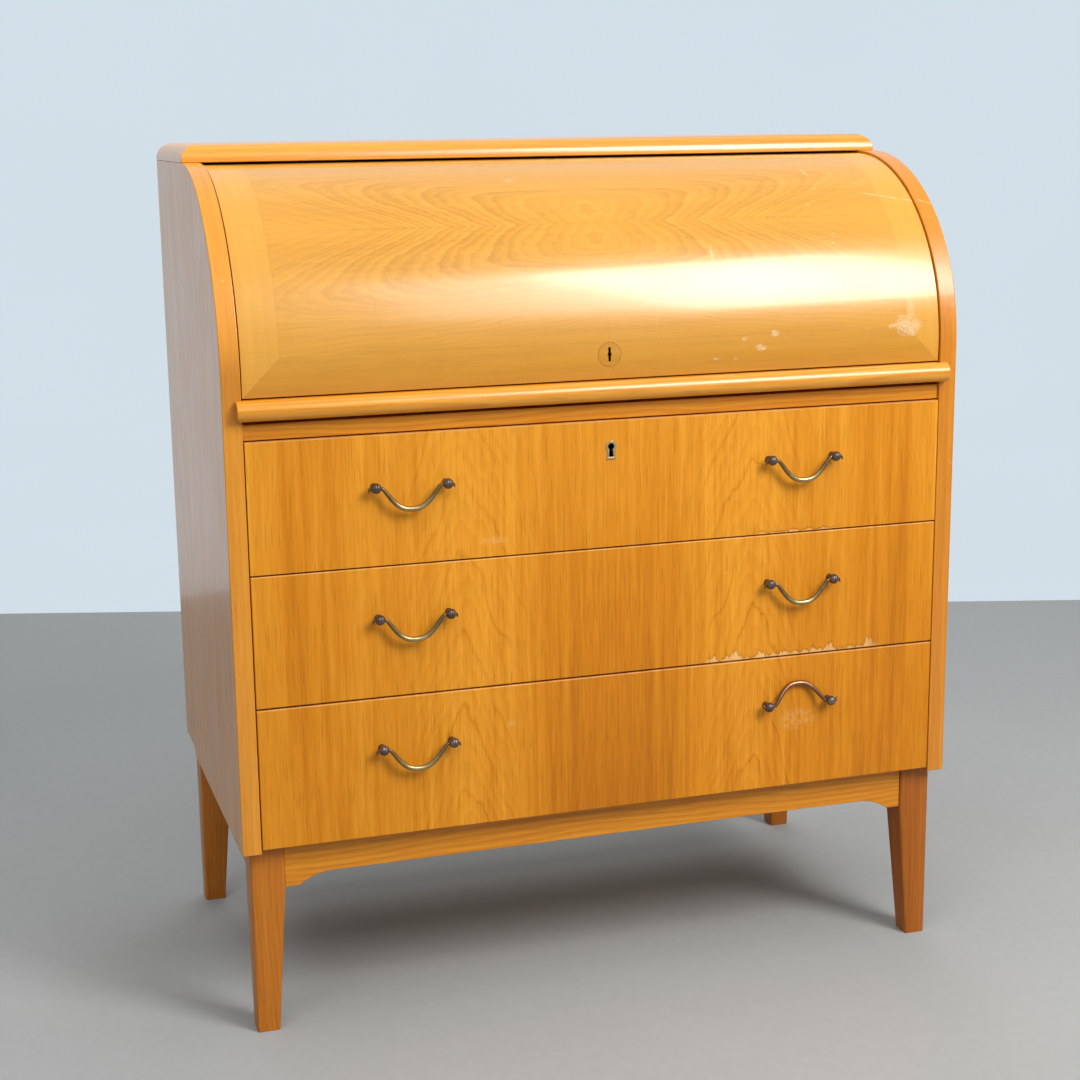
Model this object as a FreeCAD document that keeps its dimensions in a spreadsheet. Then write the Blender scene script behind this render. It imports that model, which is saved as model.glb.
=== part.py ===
import FreeCAD, Part
import math
import os
from types import SimpleNamespace

import Sketcher

# Secretary desk with a rigid cylinder fall, in millimetres.
# X runs to the right, Y from front to back, Z up. The origin is on the floor, in the middle of the plan.
# Pulling the writing leaf turns the cylinder back through a rocker lever in each side.

SIZES = [
    # Case
    ("case_width", 900),          # over the outer faces of the side panels
    ("case_depth", 464),          # from the drawer fronts to the back edge of the side panels
    ("panel_thick", 22),          # side panels
    ("top_thick", 21),            # top board
    ("top_round", 19.5),          # rounding of the top board's front and end edges
    ("arc_radius", 230),          # quarter circle of the side panels
    ("bottom_thick", 18),         # bottom panel
    ("bottom_setback", 21),       # bottom panel's front edge behind the drawer fronts
    ("back_thick", 5),            # back panel
    ("notch_length", 80),         # step in the lower back corner of a side panel
    ("notch_height", 10),
    ("notch_slope", 9),
    # Base
    ("leg_height", 227.5),
    ("leg_top", 40),              # square of a leg at the aprons
    ("leg_foot", 27),             # square of a leg at the floor
    ("leg_knee", 176),            # height where the taper starts
    ("leg_inset", 10.5),          # outer faces of the legs inside the side panels
    ("leg_setback", 17),          # front faces of the front legs behind the drawer fronts
    ("leg_round", 3),             # rounding of the legs' long edges
    ("apron_thick", 18),
    ("apron_setback", 3),         # apron faces behind the leg faces
    ("apron_height", 37.5),
    ("apron_ear", 17),            # level end of the front apron
    ("apron_ear_drop", 13.5),     # how far the ends hang below the middle
    ("apron_curve", 68),          # radius between the ends and the middle
    ("block_leg", 46),            # corner blocks
    # Drawers, numbered from the top
    ("front_lift", 5),            # lowest drawer front above the lower edge of the side panels
    ("front_height_three", 166.5),
    ("front_height_two", 153),
    ("front_height_one", 150),
    ("front_thick", 20),
    ("front_gap", 2),             # between drawer fronts
    ("front_side_gap", 1.2),      # between a drawer front and a side panel
    ("box_rear_gap", 19),         # drawer boxes to the back panel
    ("box_side", 12),             # thickness of the drawer sides
    ("box_back", 11),
    ("box_floor", 5),
    ("box_lift", 15),             # drawer sides above the front's lower edge
    ("box_drop", 14),             # drawer sides below the front's upper edge
    ("box_side_gap", 6.5),        # between a drawer side and a side panel
    ("floor_lift", 8),            # drawer floor above the lower edge of the sides
    ("floor_groove", 5),          # depth of the groove that holds the drawer floor
    ("runner_out", 11),           # side runners stand out of the side panels
    ("runner_high", 16),
    ("runner_play", 0.3),         # runner to the top of the drawer's groove
    ("groove_play", 0.5),         # other play of a runner in its groove
    # Handles
    ("handle_spread", 242.5),     # middle of a handle from the middle of the desk
    ("post_spacing", 83.5),
    ("post_below", 58.5),         # handle posts below the top of the drawer front
    ("post_reach", 12),           # handle axis in front of the drawer front
    ("ball_radius", 6.1),
    ("stem_radius", 3.6),
    ("bail_drop", 26),
    ("bail_mid", 3.2),            # wire radius in the middle of the bow
    ("bail_end", 1.6),            # wire radius in the posts
    ("bail_tip", 2.8),            # pointed end beyond a post
    ("bail_tip_turn", 4.5),        # how far the pointed end turns down
    ("bail_play", 0.35),          # wire to bore
    ("bail_lean", 19),            # degrees, a raised bail leans on the drawer front
    # Rail and writing leaf
    ("rail_height", 17.9),
    ("rail_thick", 21),
    ("rail_setback", 4),          # rail behind the drawer fronts
    ("rail_gap", 1.6),            # top drawer front to rail
    ("dust_thick", 5),
    ("dust_lift", 4),
    ("leaf_gap", 5.5),            # rail to leaf
    ("leaf_thick", 21.5),
    ("leaf_rear_gap", 20),        # leaf to the back panel
    ("leaf_side_gap", 1),
    ("leaf_play", 0.3),           # leaf to its runners
    ("leaf_runner_wide", 20),
    ("lap_gap", 1),               # grip moulding in front of the side panels
    ("grip_out", 13),
    ("grip_lap", 7),              # grip moulding past the inner faces of the side panels
    ("grip_below", 1.5),          # grip moulding below the leaf
    # Cylinder
    ("pivot_rise", 21.5),         # pivots above the leaf
    ("shell_inset", 3),           # shell inside the panels' quarter circle
    ("shell_thick", 9),
    ("shell_gap", 1.8),           # lower edge of the shell above the leaf
    ("shell_side_gap", 1.5),
    ("shell_end", 94),            # degrees from level, hidden upper edge of the shell
    ("glue_line", 0.2),
    ("cheek_gap", 3),             # cheek to side panel
    ("cheek_thick", 12),
    ("cheek_low", 4),             # degrees below level, lower edge of a cheek
    ("hub_radius", 16),
    ("pivot_radius", 6),
    ("pivot_play", 0.1),
    ("flange_radius", 15),
    ("flange_thick", 2),
    ("batten_low", 17),           # rail behind the shell, below the pivots
    ("batten_high", 27),          # the same, above the pivots
    ("batten_thick", 17),
    ("batten_margin", 34),        # ends of that rail inside the side panels
    ("key_rise", 8.5),            # cylinder keyhole above the pivots
    ("disc_radius", 14),
    ("disc_play", 0.15),
    ("key_slot_wide", 3),
    ("key_slot_high", 16.5),
    ("key_slot_round", 2.5),      # round widening in the middle of the slot
    ("lock_wide", 64),
    ("lock_high", 36),
    ("lock_thick", 12),
    ("bolt_wide", 14),
    ("bolt_out", 2.5),
    # Rocker linkage
    ("open_angle", 75),           # degrees, travel of the cylinder
    ("rocker_swing", 60),         # degrees each side of upright
    ("stud_rise", 78),            # rocker studs above the pivots
    ("rocker_low", 86),           # stud to lower pin
    ("rocker_thick", 6),
    ("rocker_wide", 18),
    ("pin_radius", 4),
    ("stud_play", 0.1),
    ("layer_gap", 1.5),           # between the layers of the linkage
    ("fork_thick", 6),
    ("fork_prong", 9),
    ("fork_play", 6.5),           # lower pin to prong, because the pin swings on an arc
    ("slot_play", 1.4),           # upper pin to the sides of the cheek's slot
    ("slot_end_play", 3),
    # Pigeonhole fitting
    ("deck_gap", 1),              # fixed floor above the leaf
    ("deck_thick", 12.5),
    ("deck_setback", 22),         # front edge of the fixed floor behind the pivots
    ("end_thick", 10),
    ("end_arc", 186),             # curved front edge of the fitting's ends, about the pivots
    ("end_high", 121),            # top of the fitting above the pivots
    ("fit_rear_gap", 74),         # shelves and dividers to the back panel
    ("fit_front", 32),            # front of shelves and dividers behind the pivots
    ("fit_board", 8),
    ("fit_back_thick", 6),
    ("bay_high", 46),             # height of the small drawers' bays
    ("bay_wide", 250),
    ("tray_gap", 1),
    ("tray_play", 0.3),           # small drawer above the fixed floor
    ("tray_front", 9),
    ("tray_wall", 6),
    ("tray_floor", 4),
    ("knob_radius", 7),
    ("knob_out", 12),
    # Top drawer's lock
    ("drawer_key_below", 30.5),   # keyhole below the top of the drawer front
    ("keyhole_radius", 3.9),
    ("keyhole_neck", 4),          # width of the keyhole below its round head
    ("keyhole_foot", 6),          # width of the keyhole at its foot
    ("keyhole_drop", 12.4),
    ("plate_rim", 2.8),
    ("plate_thick", 1),
]

DOC = FreeCAD.newDocument("secretary_desk")
SHEET = DOC.addObject("Spreadsheet::Sheet", "Sizes")
for row, (alias, number) in enumerate(SIZES, start=1):
    SHEET.set(f"A{row}", alias)
    SHEET.set(f"B{row}", str(number))
    SHEET.setAlias(f"B{row}", alias)
DOC.recompute()


class Term:
    """A number together with the sheet formula that gives it."""

    def __init__(self, value, text):
        self.value = value
        self.text = text

    def __add__(self, other):
        other = term(other)
        return Term(self.value + other.value, f"({self.text} + {other.text})")

    def __sub__(self, other):
        other = term(other)
        return Term(self.value - other.value, f"({self.text} - {other.text})")

    def __mul__(self, other):
        other = term(other)
        return Term(self.value * other.value, f"({self.text} * {other.text})")

    def __truediv__(self, other):
        other = term(other)
        return Term(self.value / other.value, f"({self.text} / {other.text})")

    def __pow__(self, other):
        other = term(other)
        return Term(self.value ** other.value, f"({self.text} ^ {other.text})")

    def __neg__(self):
        return Term(-self.value, f"(0 - {self.text})")

    def __radd__(self, other):
        return term(other) + self

    def __rsub__(self, other):
        return term(other) - self

    def __rmul__(self, other):
        return term(other) * self


def term(number):
    return number if isinstance(number, Term) else Term(float(number), f"({float(number)!r})")


def sin(angle):
    return Term(math.sin(math.radians(angle.value)), f"sin({angle.text})")


def cos(angle):
    return Term(math.cos(math.radians(angle.value)), f"cos({angle.text})")


def tan(angle):
    return Term(math.tan(math.radians(angle.value)), f"tan({angle.text})")


def asin(share):
    return Term(math.degrees(math.asin(share.value)), f"(asin({share.text}) / 1 deg)")


def sqrt(number):
    return Term(math.sqrt(number.value), f"sqrt({number.text})")


def bind(thing, path, number):
    thing.setExpression(path, term(number).text)


dim = SimpleNamespace(**{alias: Term(float(SHEET.get(alias)), "Sizes." + alias) for alias, _ in SIZES})

# Places worked out from the sizes above
front = -(dim.case_depth - dim.post_reach - dim.ball_radius) / 2
back = front + dim.case_depth
inner = dim.case_width / 2 - dim.panel_thick
back_inner = back - dim.back_thick

front_heights = (dim.front_height_one, dim.front_height_two, dim.front_height_three)
three_low = dim.leg_height + dim.front_lift
two_low = three_low + dim.front_height_three + dim.front_gap
one_low = two_low + dim.front_height_two + dim.front_gap
front_lows = (one_low, two_low, three_low)

rail_low = one_low + dim.front_height_one + dim.rail_gap
rail_top = rail_low + dim.rail_height
leaf_low = rail_top + dim.leaf_gap
leaf_top = leaf_low + dim.leaf_thick
pivot_y = front + dim.arc_radius
pivot_z = leaf_top + dim.pivot_rise
panel_top = pivot_z + dim.arc_radius
shell_out = dim.arc_radius - dim.shell_inset
shell_in = shell_out - dim.shell_thick

cheek_x = inner - dim.cheek_gap - dim.cheek_thick
rocker_x = cheek_x - dim.layer_gap - dim.rocker_thick
fork_x = rocker_x - dim.layer_gap - dim.fork_thick
end_x = fork_x - dim.layer_gap
bay_x = end_x - dim.end_thick

stud_z = pivot_z + dim.stud_rise
half_open = dim.open_angle / 2
rocker_high = dim.stud_rise * tan(half_open) / (
    sin(dim.rocker_swing) - tan(half_open) * cos(dim.rocker_swing))

deck_low = leaf_top + dim.deck_gap
deck_top = deck_low + dim.deck_thick
deck_front = pivot_y + dim.deck_setback
fit_top = pivot_z + dim.end_high
fit_y = pivot_y + dim.fit_front
fit_rear = back_inner - dim.fit_rear_gap

POST_SIDES = 12                      # facets of a handle post
BORE_SIDES = 8                       # facets of its bore
BALL_ANGLES = (-25, 5, 35, 62, 84)   # sections of its ball, from the drawer side to the nose
WIRE_SIDES = 10                      # facets of a bail
BOW_STATIONS = 5                     # sections of half a bail's bow
BOW_POWER = 1.22                     # shape of the bow
JOURNAL_FIT = 0.97                   # bow and tips meet the round journals inside their ends

HALF_TURN = 180                      # degrees

HANDS = ("left", "right")
DRAWERS = ("1", "2", "3")
PLANE_ROLES = {"XY": "XY_Plane", "XZ": "XZ_Plane", "YZ": "YZ_Plane"}
X_AXIS = FreeCAD.Vector(1, 0, 0)
Y_AXIS = FreeCAD.Vector(0, 1, 0)
RIGHTWARD = FreeCAD.Rotation(Y_AXIS, 90)
BACKWARD = FreeCAD.Rotation(X_AXIS, -90)
FORWARD = FreeCAD.Rotation(X_AXIS, 90)
PIECES = []


def keep(piece, label):
    """Name a finished sub-part and list it for export."""
    piece.Label = label
    PIECES.append(piece)
    return piece


def handed():
    """Each hand with the sign of X on its side."""
    return zip(HANDS, (-1, 1))


def span(sign, near, far):
    """Low and high X of a stretch between two distances from the middle, on one side of it."""
    return (near, far) if sign > 0 else (-far, -near)


def board(name, across, along, upright):
    """A rectangular board from its (low, high) pairs in X, Y and Z."""
    box = DOC.addObject("Part::Box", name)
    limits = (across, along, upright)
    for side, axis, (low, high) in zip(("Length", "Width", "Height"), "xyz", limits):
        bind(box, side, high - low)
        bind(box, "Placement.Base." + axis, low)
    return box


def rod(name, radius, length, place, direction):
    """A round bar that starts at a place and runs in one direction."""
    bar = DOC.addObject("Part::Cylinder", name)
    bar.Placement = FreeCAD.Placement(FreeCAD.Vector(), direction)
    bind(bar, "Radius", radius)
    bind(bar, "Height", length)
    move(bar, place)
    return bar


def move(thing, place):
    for letter, number in zip("xyz", place):
        bind(thing, "Placement.Base." + letter, number)


def cut(name, base, tool):
    result = DOC.addObject("Part::Cut", name)
    result.Base = base
    result.Tool = tool
    return result


def fuse(name, base, tool):
    result = DOC.addObject("Part::Fuse", name)
    result.Base = base
    result.Tool = tool
    return result


def group(name, pieces):
    """Like pieces that share one node as separate solids."""
    result = DOC.addObject("Part::Compound", name)
    result.Links = pieces
    return result


def arc_edge(start, end, radius):
    """The shorter arc between two points: a positive radius turns left, a negative one right."""
    chord = end - start
    size = abs(radius)
    rise = math.sqrt(max(size * size - chord.Length ** 2 / 4, 0))
    left = FreeCAD.Vector(-chord.y, chord.x, 0).normalize()
    centre = (start + end) * 0.5 + left * math.copysign(rise, radius)
    first, last = (start, end) if radius > 0 else (end, start)
    angles = [math.atan2(p.y - centre.y, p.x - centre.x) for p in (first, last)]
    return Part.ArcOfCircle(Part.Circle(centre, FreeCAD.Vector(0, 0, 1), size), *angles)


def draw_outline(sketch, outline):
    """Closed outline of points (u, v), or (u, v, radius) where an arc ends at that point."""
    points = [FreeCAD.Vector(term(p[0]).value, term(p[1]).value, 0) for p in outline]
    edges = []
    for index, point in enumerate(outline):
        start, end = points[index - 1], points[index]
        radius = term(point[2]).value if len(point) > 2 else None
        shape = arc_edge(start, end, radius) if radius else Part.LineSegment(start, end)
        backward = radius is not None and radius < 0
        edges.append((sketch.addGeometry(shape, False), 2 if backward else 1, 1 if backward else 2))
    for index, point in enumerate(outline):
        edge, _, tail = edges[index]
        following, head, _ = edges[(index + 1) % len(edges)]
        sketch.addConstraint(Sketcher.Constraint("Coincident", edge, tail, following, head))
        for kind, number in (("DistanceX", term(point[0])), ("DistanceY", term(point[1]))):
            place = sketch.addConstraint(Sketcher.Constraint(kind, -1, 1, edge, tail, number.value))
            bind(sketch, f"Constraints[{place}]", number)
        if len(point) > 2:
            size = term(point[2])
            size = size if size.value > 0 else -size
            rule = sketch.addConstraint(Sketcher.Constraint("Radius", edge, size.value))
            bind(sketch, f"Constraints[{rule}]", size)


def draw_circle(sketch, centre, radius):
    middle = FreeCAD.Vector(term(centre[0]).value, term(centre[1]).value, 0)
    ring = Part.Circle(middle, FreeCAD.Vector(0, 0, 1), radius.value)
    edge = sketch.addGeometry(ring, False)
    for kind, number in (("DistanceX", term(centre[0])), ("DistanceY", term(centre[1]))):
        place = sketch.addConstraint(Sketcher.Constraint(kind, -1, 1, edge, 3, number.value))
        bind(sketch, f"Constraints[{place}]", number)
    rule = sketch.addConstraint(Sketcher.Constraint("Radius", edge, radius.value))
    bind(sketch, f"Constraints[{rule}]", radius)


def new_sketch(body, name, plane):
    sketch = body.newObject("Sketcher::SketchObject", name)
    role = PLANE_ROLES[plane]
    support = [feature for feature in body.Origin.OriginFeatures if feature.Role == role][0]
    sketch.AttachmentSupport = (support, [""])
    sketch.MapMode = "FlatFace"
    return sketch


def add_pad(body, name, plane, length, outline=None, circle=None, holes=(), bores=(), away=False):
    """Pad an outline or a circle along the plane's axis, or the other way with away."""
    sketch = new_sketch(body, name + "_sketch", plane)
    if outline:
        draw_outline(sketch, outline)
    if circle:
        draw_circle(sketch, *circle)
    for hole in holes:
        draw_outline(sketch, hole)
    for bore in bores:
        draw_circle(sketch, *bore)
    pad = body.newObject("PartDesign::Pad", name + "_pad")
    pad.Profile = sketch
    pad.Reversed = (plane == "XZ") != away
    bind(pad, "Length", length)
    return pad


def extrusion(name, plane, outline, low, high, holes=(), bores=()):
    """A body padded from one place to another along the axis square to its sketch."""
    body = DOC.addObject("PartDesign::Body", name)
    add_pad(body, name, plane, high - low, outline=outline, holes=holes, bores=bores)
    axis = {"XY": "z", "XZ": "y", "YZ": "x"}[plane]
    bind(body, "Placement.Base." + axis, low)
    return body


def about_pivot(radius, angle):
    """Y and Z of a point seen from the cylinder's pivots, the angle counted up from the front."""
    return pivot_y - radius * cos(angle), pivot_z + radius * sin(angle)


# Case


def side_panels():
    step = back - dim.notch_length
    outline = [
        (front, dim.leg_height),
        (step, dim.leg_height),
        (step + dim.notch_slope, dim.leg_height + dim.notch_height),
        (back, dim.leg_height + dim.notch_height),
        (back, panel_top),
        (pivot_y, panel_top),
        (front, pivot_z, dim.arc_radius),
    ]
    for hand, sign in handed():
        low, high = span(sign, inner, dim.case_width / 2)
        keep(extrusion(f"{hand}_panel", "YZ", outline, low, high), f"{hand}_side_panel")


def top_board():
    half = dim.case_width / 2
    outline = [(-half, pivot_y), (half, pivot_y), (half, back), (-half, back)]
    body = extrusion("top", "XY", outline, panel_top, panel_top + dim.top_thick)
    DOC.recompute()
    slab = body.Tip
    rounded = []
    for number, edge in enumerate(slab.Shape.Edges, start=1):
        box = edge.BoundBox
        level = box.ZLength < 0.01 and box.ZMin > dim.top_thick.value / 2
        if level and box.Center.y < back.value - 0.01:
            rounded.append(f"Edge{number}")
    rounding = body.newObject("PartDesign::Fillet", "top_rounding")
    rounding.Base = (slab, rounded)
    bind(rounding, "Radius", dim.top_round)
    keep(body, "top_board")


def case_boards():
    across = (-inner, inner)
    bottom = (dim.leg_height, dim.leg_height + dim.bottom_thick)
    keep(board("bottom", across, (front + dim.bottom_setback, back_inner), bottom), "bottom_panel")
    keep(board("back_board", across, (back_inner, back), (dim.leg_height, panel_top)), "back_panel")
    rail_face = front + dim.rail_setback
    rail_back = rail_face + dim.rail_thick
    keep(board("rail", across, (rail_face, rail_back), (rail_low, rail_top)), "front_rail")
    dust_low = rail_low + dim.dust_lift
    dust_top = dust_low + dim.dust_thick
    keep(board("dust", across, (rail_back, back_inner), (dust_low, dust_top)), "dust_panel")
    runners = []
    for hand, sign in handed():
        wide = span(sign, inner - dim.leaf_runner_wide, inner)
        high = (dust_top, leaf_low - dim.leaf_play)
        runners.append(board(f"{hand}_leaf_runner", wide, (rail_back, back_inner), high))
    keep(group("leaf_runner_pair", runners), "leaf_runners")


# Base


def legs():
    outer = dim.case_width / 2 - dim.leg_inset
    for place, face, way in (("front", front + dim.leg_setback, 1), ("back", back, -1)):
        for hand, sign in handed():
            body = DOC.addObject("PartDesign::Body", f"{place}_{hand}")
            sections = []
            for level, square in ((term(0), dim.leg_foot), (dim.leg_knee, dim.leg_top),
                                  (dim.leg_height, dim.leg_top)):
                sketch = new_sketch(body, f"{place}_{hand}_section", "XY")
                bind(sketch, "AttachmentOffset.Base.z", level)
                across = span(sign, outer - square, outer)
                along = (face, face + square) if way > 0 else (face - square, face)
                draw_outline(sketch, rounded_square(across, along, dim.leg_round))
                sections.append(sketch)
            loft = body.newObject("PartDesign::AdditiveLoft", f"{place}_{hand}_loft")
            loft.Profile = sections[0]
            loft.Sections = sections[1:]
            loft.Ruled = True
            keep(body, f"{place}_{hand}_leg")


def rounded_square(across, along, radius):
    (x0, x1), (y0, y1) = across, along
    return [
        (x0 + radius, y0, radius), (x1 - radius, y0),
        (x1, y0 + radius, radius), (x1, y1 - radius),
        (x1 - radius, y1, radius), (x0 + radius, y1),
        (x0, y1 - radius, radius), (x0, y0 + radius),
    ]


def aprons():
    leg_outer = dim.case_width / 2 - dim.leg_inset
    reach = leg_outer - dim.leg_top
    top = dim.leg_height
    middle = top - dim.apron_height
    ear = middle - dim.apron_ear_drop
    run = sqrt(2 * dim.apron_curve * dim.apron_ear_drop - dim.apron_ear_drop ** 2)
    ear_x = reach - dim.apron_ear
    outline = [
        (-reach, top), (-reach, ear), (-ear_x, ear), (run - ear_x, middle, -dim.apron_curve),
        (ear_x - run, middle), (ear_x, ear, -dim.apron_curve), (reach, ear), (reach, top),
    ]
    face = front + dim.leg_setback + dim.apron_setback
    keep(extrusion("apron", "XZ", outline, face, face + dim.apron_thick), "front_apron")
    rear = back - dim.apron_setback
    keep(board("rear_apron", (-reach, reach), (rear - dim.apron_thick, rear), (middle, top)), "back_apron")
    outer = leg_outer - dim.apron_setback
    between = (front + dim.leg_setback + dim.leg_top, back - dim.leg_top)
    for hand, sign in handed():
        wide = span(sign, outer - dim.apron_thick, outer)
        keep(board(f"{hand}_rail", wide, between, (middle, top)), f"{hand}_apron")
    corner_blocks(between, outer - dim.apron_thick, middle)


def corner_blocks(between, side_face, low):
    """Triangular blocks in the corners of the base, against the side aprons and the legs."""
    blocks = []
    for hand, sign in handed():
        for place, along, way in (("front", between[0], 1), ("back", between[1], -1)):
            corner = side_face * sign
            tip = corner - dim.block_leg * sign
            far = along + dim.block_leg * way
            outline = [(corner, along), (corner, far), (tip, along)]
            blocks.append(extrusion(f"{place}_{hand}_block", "XY", outline, low, dim.leg_height))
    keep(group("block_set", blocks), "corner_blocks")


# Drawers


def keyhole(centre, rim=0):
    """Keyhole in an upright plane, a round head over a foot that widens; rim sets the outline outside it."""
    x, z = centre
    radius = dim.keyhole_radius + rim
    neck = dim.keyhole_neck / 2 + rim
    foot = dim.keyhole_foot / 2 + rim
    low = z - dim.keyhole_drop - rim
    under = z - sqrt(radius ** 2 - neck ** 2)
    return [
        (x - foot, low), (x + foot, low), (x + neck, under),
        (x, z + radius, radius), (x - neck, under, radius),
    ]


def drawer(number, index):
    low = front_lows[index]
    top = low + front_heights[index]
    half = inner - dim.front_side_gap
    face = (front, front + dim.front_thick)
    key = (term(0), top - dim.drawer_key_below)
    locked = index == 0
    outline = [(-half, low), (half, low), (half, top), (-half, top)]
    holes = [keyhole(key)] if locked else []
    keep(extrusion(f"front_{number}", "XZ", outline, *face, holes=holes), f"drawer_{number}_front")
    drawer_box(number, low, top, face[1])
    handle_posts(number, top - dim.post_below)
    if locked:
        drawer_lock(key, top, face)


def drawer_box(number, low, top, rear_of_front):
    side_low = low + dim.box_lift
    side_top = top - dim.box_drop
    outer = inner - dim.box_side_gap
    inside = outer - dim.box_side
    groove_x = inner - dim.runner_out - dim.groove_play
    runner_z = runner_low(low, top)
    groove_low = runner_z - dim.groove_play
    groove_top = runner_z + dim.runner_high + dim.runner_play
    floor_low = side_low + dim.floor_lift
    floor_top = floor_low + dim.box_floor
    floor_x = inside + dim.floor_groove
    along = (rear_of_front, back_inner - dim.box_rear_gap)
    parts = []
    for hand, sign in handed():
        section = [
            (inside, side_low), (outer, side_low), (outer, groove_low), (groove_x, groove_low),
            (groove_x, groove_top), (outer, groove_top), (outer, side_top), (inside, side_top),
            (inside, floor_top), (floor_x, floor_top), (floor_x, floor_low), (inside, floor_low),
        ]
        outline = [(x * sign, z) for x, z in section]
        parts.append(extrusion(f"{hand}_wall_{number}", "XZ", outline, *along))
    rear = (along[1] - dim.box_back, along[1])
    parts.append(board(f"rear_wall_{number}", (-inside, inside), rear, (floor_top, side_top)))
    keep(group(f"walls_{number}", parts), f"drawer_{number}_box")
    floor = board(f"floor_{number}", (-floor_x, floor_x), along, (floor_low, floor_top))
    keep(floor, f"drawer_{number}_bottom")


def runner_low(low, top):
    return (low + top - dim.runner_high) / 2


def drawer_runners():
    runners = []
    along = (front + dim.front_thick + dim.groove_play, back_inner)
    for index, number in enumerate(DRAWERS):
        low = front_lows[index]
        under = runner_low(low, low + front_heights[index])
        for hand, sign in handed():
            wide = span(sign, inner - dim.runner_out, inner)
            high = (under, under + dim.runner_high)
            runners.append(board(f"{hand}_runner_{number}", wide, along, high))
    keep(group("runner_set", runners), "drawer_runners")


def drawer_lock(key, top, face):
    """Escutcheon on the face and lock case behind the drawer front, its bolt drawn in."""
    plate = keyhole(key, dim.plate_rim)
    ends = (front - dim.plate_thick, front)
    keep(extrusion("plate", "XZ", plate, *ends, holes=[keyhole(key)]), "drawer_escutcheon")
    half = dim.lock_wide / 2
    high = (top - dim.box_drop - dim.lock_high, top - dim.box_drop)
    case = board("lock_case", (-half, half), (face[1], face[1] + dim.lock_thick), high)
    half_bolt = dim.bolt_wide / 2
    thin = dim.lock_thick / 4
    tongue_along = (face[1] + thin, face[1] + 3 * thin)
    tongue = board("lock_tongue", (-half_bolt, half_bolt), tongue_along, (high[1], high[1] + dim.bolt_out))
    keep(fuse("lock_body", case, tongue), "drawer_lock")


# Handles


def handle_centres():
    return ((hand, dim.handle_spread * sign) for hand, sign in handed())


def handle_posts(number, axis_z):
    """Two ball posts for each of a drawer's two handles."""
    posts = []
    for hand, middle in handle_centres():
        for end, way in (("outer", -1), ("inner", 1)):
            x = middle + dim.post_spacing / 2 * way
            posts.append(ball_post(f"post_{number}_{hand}_{end}", x, axis_z))
    keep(group(f"posts_{number}", posts), f"drawer_{number}_handle_posts")


def ring(name, sides, radius, place, turn):
    """A regular polygon square to the turned Z axis, as one section of a loft."""
    section = DOC.addObject("Part::RegularPolygon", name)
    section.Polygon = sides
    section.Placement = FreeCAD.Placement(FreeCAD.Vector(), turn)
    bind(section, "Circumradius", radius)
    move(section, place)
    return section


def loft(name, sections):
    result = DOC.addObject("Part::Loft", name)
    result.Sections = sections
    result.Solid = True
    result.Ruled = True
    return result


def ball_post(name, x, axis_z):
    """A stem and ball on the drawer front, bored for the wire."""
    ball = dim.ball_radius
    axis_y = front - dim.post_reach
    neck = sqrt(ball ** 2 - dim.stem_radius ** 2)
    profile = [(front, dim.stem_radius), (axis_y + neck, dim.stem_radius)]
    for angle in BALL_ANGLES:
        profile.append((axis_y - ball * sin(term(angle)), ball * cos(term(angle))))
    sections = [ring(name + "_ring", POST_SIDES, radius, (x, y, axis_z), FORWARD) for y, radius in profile]
    bore = DOC.addObject("Part::Prism", name + "_bore")
    bore.Polygon = BORE_SIDES
    bore.Placement = FreeCAD.Placement(FreeCAD.Vector(), RIGHTWARD)
    bind(bore, "Circumradius", (dim.bail_end + dim.bail_play) / cos(term(HALF_TURN / BORE_SIDES)))
    bind(bore, "Height", 4 * ball)
    move(bore, (x - 2 * ball, axis_y, axis_z))
    return cut(name, loft(name + "_turned", sections), bore)


def bail_stations():
    """Distance from the middle, drop and wire radius along half a bow, and along the tip past a post."""
    reach = dim.post_spacing / 2 - dim.ball_radius - dim.bail_play / 2
    past = reach + 2 * dim.ball_radius + dim.bail_play
    joint = dim.bail_end * JOURNAL_FIT
    bow = []
    for step in range(BOW_STATIONS):
        share = step / BOW_STATIONS
        crown = 1 - share ** 2
        wire = dim.bail_end + (dim.bail_mid - dim.bail_end) * crown
        bow.append((reach * share, dim.bail_drop * crown ** BOW_POWER, wire))
    bow.append((reach, term(0), joint))
    tip = [
        (past, term(0), joint),
        (past + dim.bail_tip * 0.55, dim.bail_tip_turn * 0.4, dim.bail_end * 0.85),
        (past + dim.bail_tip, dim.bail_tip_turn, dim.bail_end * 0.4),
    ]
    return bow, tip


def wire(name, path, base, down):
    """Faceted wire through stations from left to right; ends on the axis are square to it."""
    side = FreeCAD.Vector(0, -down[1].value, down[0].value)
    spots = [FreeCAD.Vector(term(x).value, drop.value * down[0].value, drop.value * down[1].value)
             for x, drop, _ in path]
    last = len(path) - 1
    sections = []
    for index, (x, drop, radius) in enumerate(path):
        tangent = spots[min(index + 1, last)] - spots[max(index - 1, 0)]
        on_axis = index in (0, last) and drop.value == 0
        turn = FreeCAD.Rotation(side, FreeCAD.Vector(), X_AXIS if on_axis else tangent, "ZXY")
        place = (base[0] + x, base[1] + drop * down[0], base[2] + drop * down[1])
        sections.append(ring(f"{name}_ring", WIRE_SIDES, radius, place, turn))
    return loft(name, sections)


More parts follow.
